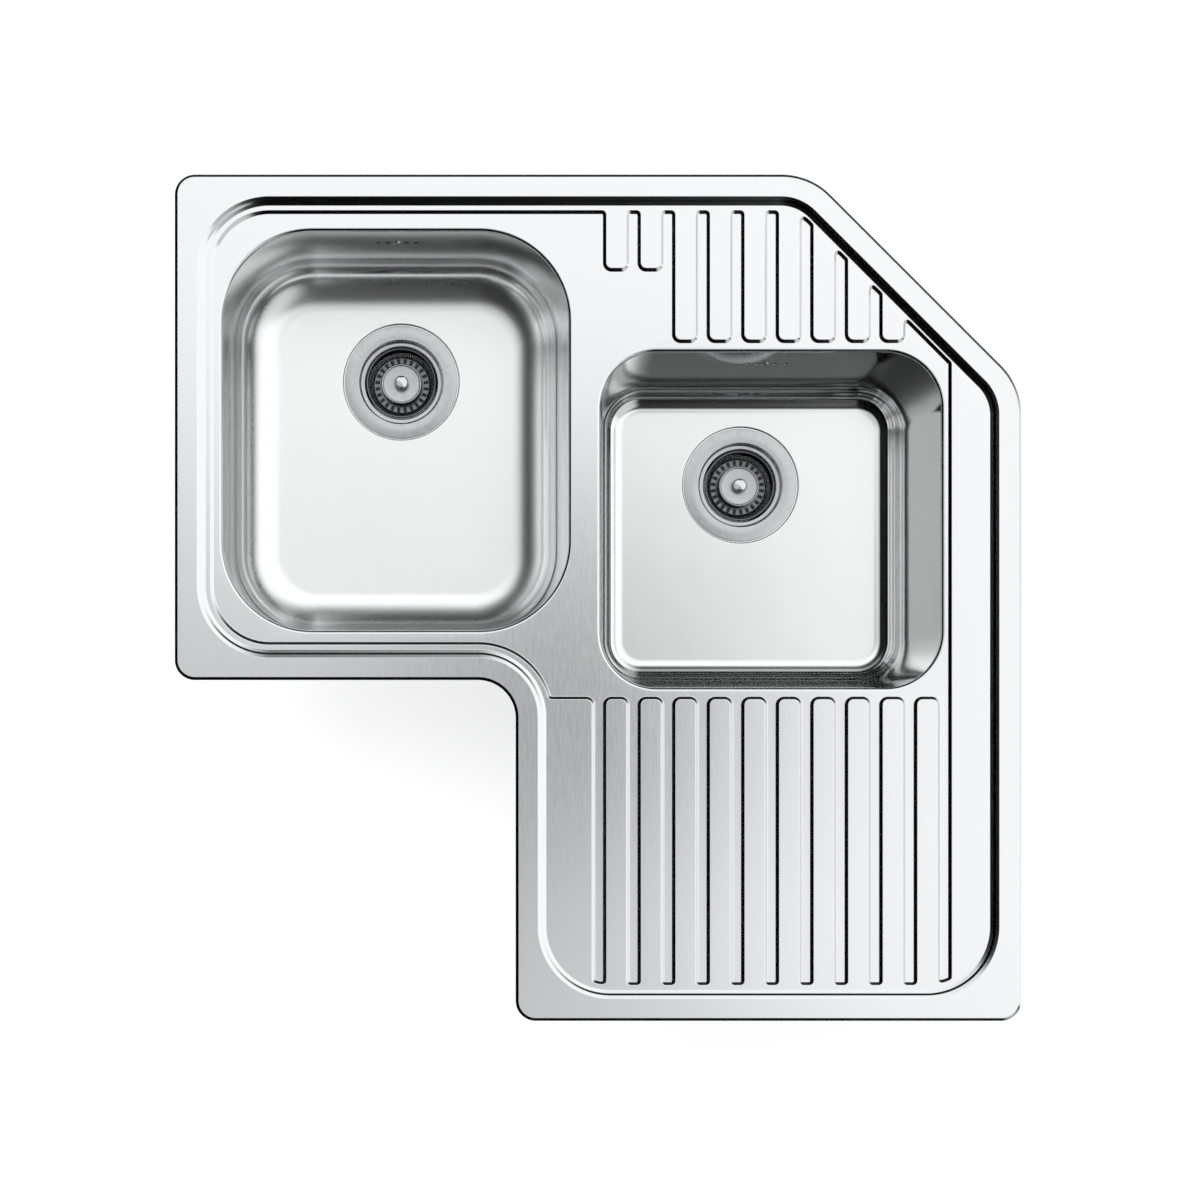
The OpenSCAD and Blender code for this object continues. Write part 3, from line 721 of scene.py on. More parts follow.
def linear(code: str) -> tuple[float, float, float, float]:
    """Turns an sRGB hex colour into linear light.

    Args:
        code: Six hex digits.

    Returns:
        Red, green, blue and full alpha.
    """
    shares = [int(code[i:i + 2], 16) / 255 for i in (0, 2, 4)]
    red, green, blue = [s / 12.92 if s <= 0.04045 else ((s + 0.055) / 1.055) ** 2.4 for s in shares]
    return red, green, blue, 1.0


def add_node(tree: NodeTree, kind: str, links: dict[object, object] | None = None,
             feeds: NodeSocket | None = None, **settings: object) -> Node:
    """Adds a node with its settings and links.

    Args:
        tree: The node tree.
        kind: Type of the node, without Blender's prefix.
        links: For each input, by name or number, a node or socket to link or a value to set.
        feeds: The input of another node that its first output feeds.
        settings: Properties of the node.

    Returns:
        The node.
    """
    node = tree.nodes.new(f"ShaderNode{kind}")
    for name, value in settings.items():
        setattr(node, name, value)
    for key, value in (links or {}).items():
        if isinstance(value, (Node, NodeSocket)):
            tree.links.new(value.outputs[0] if isinstance(value, Node) else value, node.inputs[key])
        else:
            node.inputs[key].default_value = value
    if feeds:
        tree.links.new(node.outputs[0], feeds)
    return node


@dataclass(frozen=True)
class Finish:
    """A surface: what it is made of and how that surface was made."""

    name: str
    colour: str
    roughness: float

    def material(self) -> bpy.types.Material:
        """Returns the finish's material, made on first use."""
        made = bpy.data.materials.get(self.name)
        if made:
            return made
        made = bpy.data.materials.new(self.name)
        made.use_nodes = True
        made.diffuse_color = linear(self.colour)
        made.roughness = self.roughness
        tree = made.node_tree
        tree.nodes.clear()
        shader = add_node(tree, "BsdfPrincipled",
                          {"Base Color": linear(self.colour), "Roughness": self.roughness})
        add_node(tree, "OutputMaterial", {"Surface": shader})
        self.detail(tree, shader)
        return made

    def detail(self, tree: NodeTree, shader: Node) -> None:
        """Adds what sets this finish apart.

        Args:
            tree: The material's node tree.
            shader: Its principled shader.
        """


@dataclass(frozen=True)
class SteelSheet(Finish):
    """Stainless steel sheet: a fine brushing blurs what it mirrors, and pressing leaves faint waves."""

    grain: Grain = Grain.ALONG_Y
    # Width of a brush mark: the real ones are near 0.1 mm, too fine to show, so these are coarser
    mark_mm: float = 0.9
    mark_depth: float = 0.05
    # Length of the waves that pressing leaves in the sheet
    wave_mm: float = 70.0
    wave_depth_mm: float = 0.05
    # Share by which the brushing varies the roughness
    spread: float = 0.12

    def detail(self, tree: NodeTree, shader: Node) -> None:
        """Adds the metal, the brushing and the waves."""
        shader.inputs["Metallic"].default_value = 1.0
        place = add_node(tree, "TexCoord").outputs["Object"]
        along = add_node(tree, "Mapping", {"Vector": place, "Scale": self.grain.value})
        marks = add_node(tree, "TexNoise", {
            "Vector": along, "Scale": 1 / (self.mark_mm * MM), "Detail": 3.0, "Roughness": 0.6})
        waves = add_node(tree, "TexNoise", {
            "Vector": place, "Scale": 1 / (self.wave_mm * MM), "Detail": 1.0, "Roughness": 0.4})
        low, high = self.roughness * (1 - self.spread), self.roughness * (1 + self.spread)
        add_node(tree, "MapRange", {
            "Value": marks, "From Min": 0.3, "From Max": 0.7, "To Min": low, "To Max": high},
            feeds=shader.inputs["Roughness"])
        pale = linear(self.colour)
        tint = add_node(tree, "Mix", {
            0: marks, 6: tuple(c * 0.97 for c in pale[:3]) + (1.0,),
            7: tuple(min(1.0, c * 1.02) for c in pale[:3]) + (1.0,)}, data_type="RGBA")
        tree.links.new(tint.outputs[2], shader.inputs["Base Color"])
        ripple = add_node(tree, "Bump", {"Height": waves, "Distance": self.wave_depth_mm * MM,
                                         "Strength": 1.0})
        add_node(tree, "Bump", {
            "Height": marks, "Distance": 0.01 * MM, "Strength": self.mark_depth, "Normal": ripple},
            feeds=shader.inputs["Normal"])


@dataclass(frozen=True)
class DrawnSteel(SteelSheet):
    """Deep-drawn stainless steel: the die burnishes the walls, while the floor keeps the mill's satin."""

    floor_roughness: float = 0.33
    # Heights between which the floor's satin gives way to the burnished wall
    satin_below: float = -157.0
    bright_above: float = -128.0

    def detail(self, tree: NodeTree, shader: Node) -> None:
        """Adds the sheet's detail and lets the roughness follow the height."""
        super().detail(tree, shader)
        marks = shader.inputs["Roughness"].links[0].from_socket
        place = add_node(tree, "TexCoord").outputs["Object"]
        height = add_node(tree, "SeparateXYZ", {0: place}).outputs["Z"]
        more = add_node(tree, "MapRange", {
            "Value": height, "From Min": self.satin_below * MM, "From Max": self.bright_above * MM,
            "To Min": self.floor_roughness / self.roughness, "To Max": 1.0},
            interpolation_type="SMOOTHSTEP")
        add_node(tree, "Math", {0: marks, 1: more}, operation="MULTIPLY", feeds=shader.inputs["Roughness"])


@dataclass(frozen=True)
class TurnedSteel(Finish):
    """Steel turned on a lathe: fine rings round the drain's axis, almost a mirror between them."""

    centre: Point = (0.0, 0.0)
    # Pitch of the rings that the tool leaves, drawn coarser than the real 0.1 mm
    ring_mm: float = 0.8
    ring_depth: float = 0.05

    def detail(self, tree: NodeTree, shader: Node) -> None:
        """Adds the metal and the rings."""
        shader.inputs["Metallic"].default_value = 1.0
        place = add_node(tree, "TexCoord").outputs["Object"]
        centred = add_node(tree, "Mapping", {
            "Vector": place, "Location": (-self.centre[0] * MM, -self.centre[1] * MM, 0)})
        rings = add_node(tree, "TexWave", {
            "Vector": centred, "Scale": 2 * math.pi / (20 * self.ring_mm * MM),
            "Distortion": 0.6, "Detail": 2.0, "Detail Scale": 1.0}, wave_type="RINGS", rings_direction="Z")
        smear = add_node(tree, "TexNoise", {"Vector": place, "Scale": 1 / (6 * MM), "Detail": 2.0})
        add_node(tree, "MapRange", {
            "Value": smear, "From Min": 0.3, "From Max": 0.7,
            "To Min": self.roughness * 0.85, "To Max": self.roughness * 1.2},
            feeds=shader.inputs["Roughness"])
        add_node(tree, "Bump", {
            "Height": rings.outputs["Fac"], "Distance": 0.02 * MM, "Strength": self.ring_depth},
            feeds=shader.inputs["Normal"])


def object_place(tree: NodeTree, scale: Sequence[float] = (1, 1, 1), turn: float = 0.0) -> Node:
    """Places on the object, for a pattern in real size.

    Args:
        tree: The node tree.
        scale: How much each axis is stretched.
        turn: Turn about Z in degrees.

    Returns:
        The node with the places.
    """
    place = add_node(tree, "TexCoord").outputs["Object"]
    return add_node(tree, "Mapping", {
        "Vector": place, "Scale": scale, "Rotation": (0, 0, math.radians(turn))})


def tint_by(tree: NodeTree, shader: Node, share: Node | NodeSocket, low: str, high: str) -> None:
    """Lets the colour run between two shades.

    Args:
        tree: The node tree.
        shader: The shader that gets the colour.
        share: What runs from 0 to 1.
        low: Shade at 0.
        high: Shade at 1.
    """
    mix = add_node(tree, "Mix", {0: share, 6: linear(low), 7: linear(high)}, data_type="RGBA")
    tree.links.new(mix.outputs[2], shader.inputs["Base Color"])


@dataclass(frozen=True)
class MouldedPlastic(Finish):
    """Injection-moulded polypropylene: the spark-eroded mould leaves a fine even grain on it."""

    shade: str = "D8D7D2"
    grain_mm: float = 0.7
    grain_depth_mm: float = 0.03

    def detail(self, tree: NodeTree, shader: Node) -> None:
        """Adds the grain and the flow marks."""
        shader.inputs["IOR"].default_value = 1.49
        grain = add_node(tree, "TexNoise", {
            "Vector": object_place(tree), "Scale": 1 / (self.grain_mm * MM), "Detail": 2.0})
        flow = add_node(tree, "TexNoise", {
            "Vector": object_place(tree, (1, 1, 0.3)), "Scale": 1 / (24 * MM), "Detail": 3.0})
        tint_by(tree, shader, flow, self.shade, self.colour)
        add_node(tree, "Bump", {
            "Height": grain, "Distance": self.grain_depth_mm * MM, "Strength": 1.0},
            feeds=shader.inputs["Normal"])


@dataclass(frozen=True)
class MouldedRubber(Finish):
    """Moulded nitrile rubber: matt, with pale bloom in patches and a fine pitted skin."""

    bloom: str = "3E3E3C"

    def detail(self, tree: NodeTree, shader: Node) -> None:
        """Adds the bloom and the pits."""
        shader.inputs["IOR"].default_value = 1.52
        bloom = add_node(tree, "TexNoise", {
            "Vector": object_place(tree), "Scale": 1 / (9 * MM), "Detail": 4.0})
        tint_by(tree, shader, bloom, self.colour, self.bloom)
        pits = add_node(tree, "TexNoise", {"Vector": object_place(tree), "Scale": 1 / (0.5 * MM)})
        add_node(tree, "Bump", {
            "Height": pits, "Distance": 0.05 * MM, "Strength": 1.0}, feeds=shader.inputs["Normal"])


@dataclass(frozen=True)
class CellFoam(Finish):
    """Closed-cell sealing foam: rows of small cells cut open at its faces."""

    cell_mm: float = 1.3

    def detail(self, tree: NodeTree, shader: Node) -> None:
        """Adds the cells."""
        cells = add_node(tree, "TexVoronoi", {"Vector": object_place(tree), "Scale": 1 / (self.cell_mm * MM)})
        tint_by(tree, shader, cells, "232323", "4A4A49")
        add_node(tree, "Bump", {
            "Height": cells, "Distance": 0.4 * MM, "Strength": 1.0}, feeds=shader.inputs["Normal"])


@dataclass(frozen=True)
class BitumenSheet(Finish):
    """Bitumen damping sheet: calendered with an embossed diamond grid and filled with mineral grit."""

    diamond_mm: float = 7.0

    def detail(self, tree: NodeTree, shader: Node) -> None:
        """Adds the diamonds and the grit."""
        grit = add_node(tree, "TexNoise", {
            "Vector": object_place(tree), "Scale": 1 / (0.9 * MM), "Detail": 4.0})
        tint_by(tree, shader, grit, "232425", "505152")
        lines = [add_node(tree, "TexWave", {
            "Vector": object_place(tree, turn=turn), "Scale": 2 * math.pi / (20 * self.diamond_mm * MM)})
            for turn in (45, -45)]
        grid = add_node(tree, "Math", {0: lines[0].outputs["Fac"], 1: lines[1].outputs["Fac"]},
                        operation="MAXIMUM")
        press = add_node(tree, "Bump", {"Height": grid, "Distance": 0.5 * MM, "Strength": 1.0})
        add_node(tree, "Bump", {
            "Height": grit, "Distance": 0.15 * MM, "Strength": 1.0, "Normal": press},
            feeds=shader.inputs["Normal"])


@dataclass(frozen=True)
class GalvanisedStrip(Finish):
    """Hot-dip galvanised strip: zinc crystals of a few millimetres, each a little brighter or duller."""

    crystal_mm: float = 5.0

    def detail(self, tree: NodeTree, shader: Node) -> None:
        """Adds the metal and its crystals."""
        shader.inputs["Metallic"].default_value = 1.0
        crystals = add_node(tree, "TexVoronoi", {
            "Vector": object_place(tree), "Scale": 1 / (self.crystal_mm * MM), "Randomness": 1.0})
        shade = add_node(tree, "SeparateColor", {0: crystals.outputs["Color"]}).outputs[0]
        tint_by(tree, shader, shade, "A9ADAF", "C9CCCD")
        add_node(tree, "MapRange", {
            "Value": shade, "To Min": self.roughness * 0.8, "To Max": self.roughness * 1.3},
            feeds=shader.inputs["Roughness"])


@dataclass(frozen=True)
class ZincPlate(Finish):
    """Bright zinc plate on a turned fastener: a faint blue and yellow passivation over lathe marks."""

    def detail(self, tree: NodeTree, shader: Node) -> None:
        """Adds the metal, the passivation and the lathe marks."""
        shader.inputs["Metallic"].default_value = 1.0
        film = add_node(tree, "TexNoise", {
            "Vector": object_place(tree), "Scale": 1 / (5 * MM), "Detail": 2.0})
        tint_by(tree, shader, film, "B9BCC0", "C6C1AE")
        marks = add_node(tree, "TexNoise", {
            "Vector": object_place(tree, (1, 1, 6)), "Scale": 1 / (1.5 * MM), "Detail": 3.0})
        add_node(tree, "Bump", {
            "Height": marks, "Distance": 0.01 * MM, "Strength": 1.0}, feeds=shader.inputs["Normal"])


WASTE_PLASTIC = MouldedPlastic("moulded_polypropylene", "E9E8E3", 0.38)
HOSE_PLASTIC = MouldedPlastic("blown_polyethylene", "C6C8C8", 0.36, shade="B3B5B5", grain_mm=1.1)
SEAL_RUBBER = MouldedRubber("moulded_nitrile_rubber", "262626", 0.55)
RIM_FOAM = CellFoam("closed_cell_foam", "3B3B3B", 0.85)
PAD_BITUMEN = BitumenSheet("calendered_bitumen", "38393A", 0.7)
STRIP_ZINC = GalvanisedStrip("hot_dip_galvanised_strip", "BEC1C2", 0.33)
SCREW_ZINC = ZincPlate("bright_zinc_plate", "BDBFC0", 0.27)
DECK_STEEL = SteelSheet("satin_stainless_sheet", "E2E3E4", 0.165)
BACK_STEEL = SteelSheet("dull_stainless_back", "A9ABAD", 0.42, Grain.NONE, 1.6, wave_mm=40.0,
                        wave_depth_mm=0.25, spread=0.3)
# Both bowls' steel is painted paler than the deck's, the main bowl's palest: this paints extra light on their
# floors and walls.
BOWL_STEEL = {
    Side.MAIN: DrawnSteel("drawn_stainless_main_painted_light", "F9FAFA", 0.08, Grain.NONE, 1.2, wave_mm=55.0,
                          wave_depth_mm=0.12),
    Side.SECOND: DrawnSteel("drawn_stainless_second_painted_light", "E9EAEA", 0.08, Grain.NONE, 1.2, wave_mm=55.0,
                            wave_depth_mm=0.12, floor_roughness=0.2, satin_below=-159.6,
                            bright_above=-150.0)}


# The deck


def l_outline(inset: float, convex: float, concave: float, cut: float, shift: float = 0.0) -> list[Corner]:
    """The L of the deck at some distance inside its outer edge.

    Args:
        inset: The distance.
        convex: Radius of the plain corners.
        concave: Radius of the inward corner.
        cut: Radius at the two ends of the cut-off back corner.
        shift: How far the cut-off corner's edge moves out beyond that distance.

    Returns:
        The corners, counter-clockwise from the left wing's front.
    """
    far, near = HALF - inset, ARM + inset
    level = HALF - Deck.cut_leg - inset * math.tan(math.pi / 8) + shift * math.sqrt(2)
    return [Corner(-far, near, convex), Corner(near, near, concave), Corner(near, -far, convex),
            Corner(far, -far, convex), Corner(far, level, cut), Corner(level, far, cut),
            Corner(-far, far, convex)]


def rounded_box(x: float, y: float, width: float, length: float, radius: float, grow: float
                ) -> list[Corner]:
    """The rounded rectangle of a bowl, grown or shrunk all round.

    Args:
        x: Middle along X.
        y: Middle along Y.
        width: Size along X before it is grown.
        length: Size along Y before it is grown.
        radius: Corner radius before it is grown.
        grow: How far each side moves out.

    Returns:
        The four corners, counter-clockwise.
    """
    w, l, r = width / 2 + grow, length / 2 + grow, radius + grow
    return [Corner(x + a * w, y + b * l, r) for a, b in ((-1, -1), (1, -1), (1, 1), (-1, 1))]


@dataclass
class Mouth:
    """Where a bowl meets the deck, and how its walls run down to its floor."""

    side: Side
    x: float
    y: float
    width: float
    length: float
    corner_r: float
    floor_r: float
    draft: float
    drain: Point
    overflow_x: float
    # Number of draw rings round the foot of the wall, and how far they tilt it, in degrees
    rings: float
    ring_swing: float
    lip_r: float = 3.5

    @property
    def lean(self) -> float:
        """Lean of the walls in radians."""
        return math.radians(self.draft)

    @property
    def lip_end(self) -> float:
        """Height at which the deck's lip ends and the bowl's wall starts."""
        return BASIN_Z - self.lip_r * (1 - math.sin(self.lean))

    def inset_at(self, z: float) -> float:
        """How far the straight wall lies inside the mouth at a height."""
        return math.tan(self.lean) * (WELD_Z - z)

    @property
    def back_lean(self) -> float:
        """Lean of the back wall in radians, with the floor's shift."""
        return math.atan(math.tan(self.lean) + FLOOR_SHIFT / (WELD_Z - FLOOR_Z))

    @property
    def overflow_place(self) -> Matrix:
        """Place of the overflow: its origin lies on the back wall's outer face and Y points outwards."""
        back = self.y + self.length / 2 - math.tan(self.back_lean) * (WELD_Z - OVERFLOW_Z)
        return place_at((self.overflow_x, back + SHEET_T / math.cos(self.lean), OVERFLOW_Z),
                        tilt=-math.degrees(self.back_lean))

    @property
    def socket_way(self) -> Vector:
        """Direction of the waste body's hose socket, towards the overflow."""
        tip = self.overflow_place @ (Vector(SPIGOT_TIP) * MM) / MM
        return Vector((tip.x - self.drain[0], tip.y - self.drain[1], 0)).normalized()

    @property
    def socket_turn(self) -> float:
        """Turn of that socket about Z, in degrees from +Y."""
        return -math.degrees(math.atan2(self.socket_way.x, self.socket_way.y))

    def outline(self, grow: float) -> list[Corner]:
        """The mouth's corners, grown by a distance."""
        return rounded_box(self.x, self.y, self.width, self.length, self.corner_r, grow)


MOUTHS = (
    Mouth(Side.MAIN, -198.7, 164.3, 340.0, 392.0, 88.0, 45.0, 2.5, (-198.2, 234.3), -198.2, 1.5, 2.5),
    Mouth(Side.SECOND, 170.2, 76.8, 335.0, 330.0, 55.0, 22.0, 6.0, (157.5, 126.3), 170.2, 3.0, 9.0),
)


@dataclass
class Deck:
    """The pressed L: a rolled rim, a recess, raised drainer bars and a rolled lip round each mouth."""

    cut_leg: float = 207.0
    rim_low: float = 0.5
    # Radii of the outline's plain corners, its inward corner and the ends of the cut-off corner
    rim_r: float = 20.0
    rim_inner_r: float = 37.0
    rim_cut_r: float = 68.0
    # The rolled outer edge: a flank between two arcs
    edge_slope: float = 34.0
    edge_flank: float = 2.3
    edge_low_r: float = 1.2
    edge_top_r: float = 1.2
    # Distance from the outline to the middle of the recess wall, and the wall's slopes and arcs
    recess_at: float = 26.2
    recess_gentle: Step = (25.5, 2.9)
    recess_steep: float = 38.0
    recess_bend: float = 0.8
    # Radii of the recess's plain corners, its inward corner and the ends of the cut-off corner
    recess_r: float = 71.0
    recess_inner_r: float = 58.0
    recess_cut_r: float = 48.0
    # Distance from the outline to the basin's edge, and how much nearer it is along the cut-off corner
    basin_from: float = 34.5
    basin_shift: float = 3.1
    bar_pitch: float = 33.9
    bar_w: float = 22.9
    strip_from: float = 345.7
    lower_bars: int = 10
    upper_bars: int = 9
    short_bars: int = 2
    lower_end: float = -98.2
    long_end: float = 251.8
    short_end: float = 322.0
    # Slope and arcs of a bar's flank, and the radii of its corners
    flank_slope: float = 40.0
    flank_bend: float = 1.15
    end_r: float = 5.0
    foot_r: float = 4.6

    @property
    def recess_wall(self) -> list[Step]:
        """Profile of the recess wall, from the rim inward."""
        return two_slope_wall(RIM_TOP - PLATEAU_Z, self.recess_gentle, self.recess_steep,
                              self.recess_bend, 3)

    @property
    def bar_flank(self) -> list[Step]:
        """Profile of a bar's flank, from the plateau down into the basin."""
        return ramp(PLATEAU_Z - BASIN_Z, self.flank_slope, self.flank_bend, 4)

    @property
    def flank(self) -> float:
        """Width of a bar's flank, seen from above."""
        return sum(inward for inward, up in self.bar_flank)

    @property
    def recess_width(self) -> float:
        """Width of the recess wall, seen from above."""
        return sum(inward for inward, up in self.recess_wall)

    @property
    def recess_from(self) -> float:
        """Distance from the outline at which the recess wall starts."""
        return self.recess_at - self.recess_width / 2

    @property
    def edge(self) -> list[Step]:
        """Profile of the rolled outer edge, from its lowest point inward."""
        slope = math.radians(self.edge_slope)
        low = bend(self.edge_low_r, 90, self.edge_slope, 4, rise=1)
        top = bend(self.edge_top_r, self.edge_slope, 0, 4, rise=1)
        flank = (self.edge_flank, self.edge_flank * math.tan(slope))
        upright = RIM_TOP - self.rim_low - flank[1] - sum(up for inward, up in low + top)
        return [(0.0, upright)] + low + [flank] + top

    def bar_from(self, k: int) -> float:
        """Left side of bar k, at mid height of its flank."""
        return self.strip_from - (self.lower_bars - k) * self.bar_pitch

    def raised(self) -> list[tuple[float, float, float, float]]:
        """Left, right, low and high edges of the bars and lands, which run on into the recess wall."""
        trim = self.flank / 2
        land = self.bar_from(0) - self.bar_pitch + self.bar_w
        rows = [(-HALF, land - trim, -HALF, self.lower_end - trim),
                (self.strip_from + trim, HALF, -HALF, HALF)]
        for k in range(self.lower_bars):
            left = self.bar_from(k)
            rows.append((left + trim, left + self.bar_w - trim, -HALF, self.lower_end - trim))
        for k in range(self.upper_bars):
            left = self.bar_from(k)
            end = self.short_end if k < self.short_bars else self.long_end
            rows.append((left + trim, left + self.bar_w - trim, end + trim, HALF))
        return rows

    def basin(self) -> Workpiece:
        """Presses the lowest level, with the bars and lands left out of it.

        Returns:
            The workpiece, open at the plateau's level and in its middle.
        """
        less = self.basin_from - self.recess_from
        corners = l_outline(self.basin_from, self.recess_r - less, self.recess_inner_r + less,
                            self.recess_cut_r - less, self.basin_shift)
        piece = Workpiece.plate("basin", corners, PLATEAU_Z, 24)
        rows = self.raised()
        for x in sorted({edge for row in rows for edge in row[:2] if abs(edge) < HALF}):
            piece.cut((x, 0, 0), (1, 0, 0))
        for y in sorted({edge for row in rows for edge in row[2:] if abs(edge) < HALF}):
            piece.cut((0, y, 0), (0, 1, 0))
        piece.select_faces(lambda c: any(a < c.x < b and d < c.y < e for a, b, d, e in rows))
        bpy.ops.mesh.delete(type="FACE")
        select_all()
        bpy.ops.mesh.dissolve_faces()
        select_all()
        bpy.ops.mesh.dissolve_limited(angle_limit=math.radians(0.2))
        ends, feet = self.bar_corners(piece, rows)
        for x, y in ends:
            piece.round_corner(x, y, self.end_r, 6)
        for x, y in feet:
            piece.round_corner(x, y, self.foot_r, 6)
        piece.face_up()
        piece.press(self.bar_flank)
        piece.open_face()
        return piece

    def bar_corners(self, piece: Workpiece, rows: list[tuple[float, float, float, float]]
                    ) -> tuple[list[Point], list[Point]]:
        """Finds the sharp corners that the bars leave in the basin's outline.

        Args:
            piece: The basin in edit mode, as one face.
            rows: The raised areas.

        Returns:
            The corners at the bars' free ends, and those where their sides meet the recess wall.
        """
        sides = {edge for row in rows for edge in row[:2] if abs(edge) < HALF}
        stops = {edge for row in rows for edge in row[2:] if abs(edge) < HALF}
        ends: list[Point] = []
        feet: list[Point] = []
        for vertex in piece.mesh.verts:
            x, y = vertex.co.x / MM, vertex.co.y / MM
            on_side = any(abs(x - s) < SAME for s in sides)
            on_stop = any(abs(y - s) < SAME for s in stops)
            arms = [edge.other_vert(vertex).co - vertex.co for edge in vertex.link_edges]
            if on_side and on_stop:
                ends.append((x, y))
            elif (on_side or on_stop) and arms[0].angle(arms[1]) < math.radians(160):
                feet.append((x, y))
        return ends, feet

    def build(self) -> Workpiece:
        """Presses the whole deck.

        Returns:
            The deck as a closed sheet.
        """
        rim_corners = l_outline(0, self.rim_r, self.rim_inner_r, self.rim_cut_r)
        rim = Workpiece.plate("deck_sheet", rim_corners, self.rim_low, 24)
        rim.press(self.edge)
        rim.open_face()
        wall_corners = l_outline(self.recess_from, self.recess_r, self.recess_inner_r, self.recess_cut_r)
        recess = Workpiece.plate("recess", wall_corners, RIM_TOP, 32)
        recess.press(self.recess_wall)
        recess.open_face()
        recess.join(self.basin())
        recess.close_level(PLATEAU_Z)
        lips = [self.lip(mouth) for mouth in MOUTHS]
        recess.join(*lips)
        recess.close_level(BASIN_Z)
        rim.join(recess)
        rim.close_level(RIM_TOP)
        rim.merge()
        rim.face_out_at(lambda c: abs(c.z - RIM_TOP) < SAME, Vector((0, 0, 1)))
        rim.thicken(SHEET_T, DECK_STEEL, BACK_STEEL)
        return rim

    def lip(self, mouth: Mouth) -> Workpiece:
        """Rolls the deck's edge down into one mouth.

        Args:
            mouth: The mouth.

        Returns:
            The lip, open above and below.
        """
        grow = mouth.lip_r * math.cos(mouth.lean) - mouth.inset_at(mouth.lip_end)
        corners = mouth.outline(grow)
        piece = Workpiece.plate("lip", corners, BASIN_Z, 32)
        piece.press(bend(mouth.lip_r, 0, 90 - mouth.draft, 7))
        piece.open_face()
        return piece

    def add(self) -> None:
        """Builds and dresses the deck."""
        piece = self.build()
        piece.dress(DECK_STEEL, "pressed_steel", "deck")


# The bowls


@dataclass
class Fitting:
    """A sub-assembly that each of the two bowls has."""

    mouth: Mouth

    def name(self, part: str) -> str:
        """The name of a part at this bowl."""
        return f"{self.mouth.side.value}_{part}"


@dataclass
class Bowl(Fitting):
    """A deep-drawn bowl: leaning walls, a rounded floor, a seat for the strainer and overflow holes."""

    seat_r: float = 60.3
    seat_roll: float = 1.6
    seat_d: float = 2.5
    hole_r: float = 45.0
    flange_w: float = 8.0
    flange_roll: float = 3.1
    flange_gap: float = 0.05
    wall_steps: int = 6
    fillet_steps: int = 36
    overflow_hole_r: float = 2.5
    overflow_places: tuple[float, ...] = (-19.0, -9.0, 9.0, 19.0)

    def build(self) -> Workpiece:
        """Draws the bowl, sinks the strainer's seat and drills the overflow.

        Returns:
            The bowl as a closed sheet.
        """
        mouth = self.mouth
        start = mouth.lip_end
        corners = mouth.outline(-mouth.inset_at(start))
        piece = Workpiece.plate(self.name("bowl_sheet"), corners, start, 32)
        slide = FLOOR_SHIFT / (WELD_Z - FLOOR_Z)
        wall_down = start - FLOOR_Z - mouth.floor_r * (1 - math.sin(mouth.lean))
        step = wall_down / self.wall_steps
        wall = [(math.tan(mouth.lean) * step, -step)] * self.wall_steps
        fillet = rippled(bend(mouth.floor_r, 90 - mouth.draft, 0, self.fillet_steps), mouth.rings,
                         mouth.ring_swing)
        piece.press(wall + fillet, slide=(-slide, -slide))
        piece.open_face()
        piece.join(self.seat())
        piece.close_level(FLOOR_Z)
        piece.merge()
        piece.face_out_at(lambda c: abs(c.z - FLOOR_Z) < SAME, Vector((0, 0, 1)))
        piece.thicken(SHEET_T, BOWL_STEEL[self.mouth.side], BACK_STEEL)
        for offset in self.overflow_places:
            piece.cut_away(self.drill(offset, self.overflow_hole_r))
        piece.join(self.flange())
        return piece

    def seat(self) -> Workpiece:
        """Presses the round seat that the strainer's flange lies in.

        Returns:
            The seat, open round its edge and in its middle.
        """
        x, y = self.mouth.drain
        release_all()
        bpy.ops.mesh.primitive_circle_add(vertices=96, radius=(self.seat_r + self.seat_roll) * MM,
                                          fill_type="NGON", location=(x * MM, y * MM, FLOOR_Z * MM))
        bpy.ops.object.transform_apply(location=True)
        piece = Workpiece.adopt("seat")
        piece.edit()
        piece.face_up()
        piece.press(bend(self.seat_roll, 0, 90, 5))
        piece.press([(0.0, self.seat_roll - self.seat_d), (self.seat_r - self.hole_r, 0.0)])
        piece.open_face()
        return piece

    def drill(self, offset: float, radius: float) -> Workpiece:
        """A drill through the back wall.

        Args:
            offset: Distance from the overflow's middle along X.
            radius: Radius of the hole.

        Returns:
            The drill.
        """
        mouth = self.mouth
        y = mouth.y + mouth.length / 2 - mouth.inset_at(OVERFLOW_Z)
        return pin("drill", (mouth.overflow_x + offset, y, OVERFLOW_Z), (0, 1, 0.05), radius, 12.0)

    def flange(self) -> Workpiece:
        """The flange under the deck that the bowl is welded on by.

        Returns:
            The flange as a closed sheet.
        """
        top = WELD_Z - self.flange_gap
        roll = self.flange_roll
        corners = self.mouth.outline(self.flange_w)
        piece = Workpiece.plate("flange", corners, top, 24)
        piece.press([(self.flange_w - roll - SHEET_T - 2 * self.flange_gap, 0.0)]
                    + bend(roll, 0, 90, 6) + [(0.0, -2.0)])
        piece.open_face()
        piece.modify("SOLIDIFY", thickness=SHEET_T * MM, offset=-1.0, use_even_offset=True)
        return piece

    def add(self) -> None:
        """Builds and dresses the bowl."""
        piece = self.build()
        piece.dress(BOWL_STEEL[self.mouth.side], "bowl_steel", self.name("bowl"))


# The basket strainers


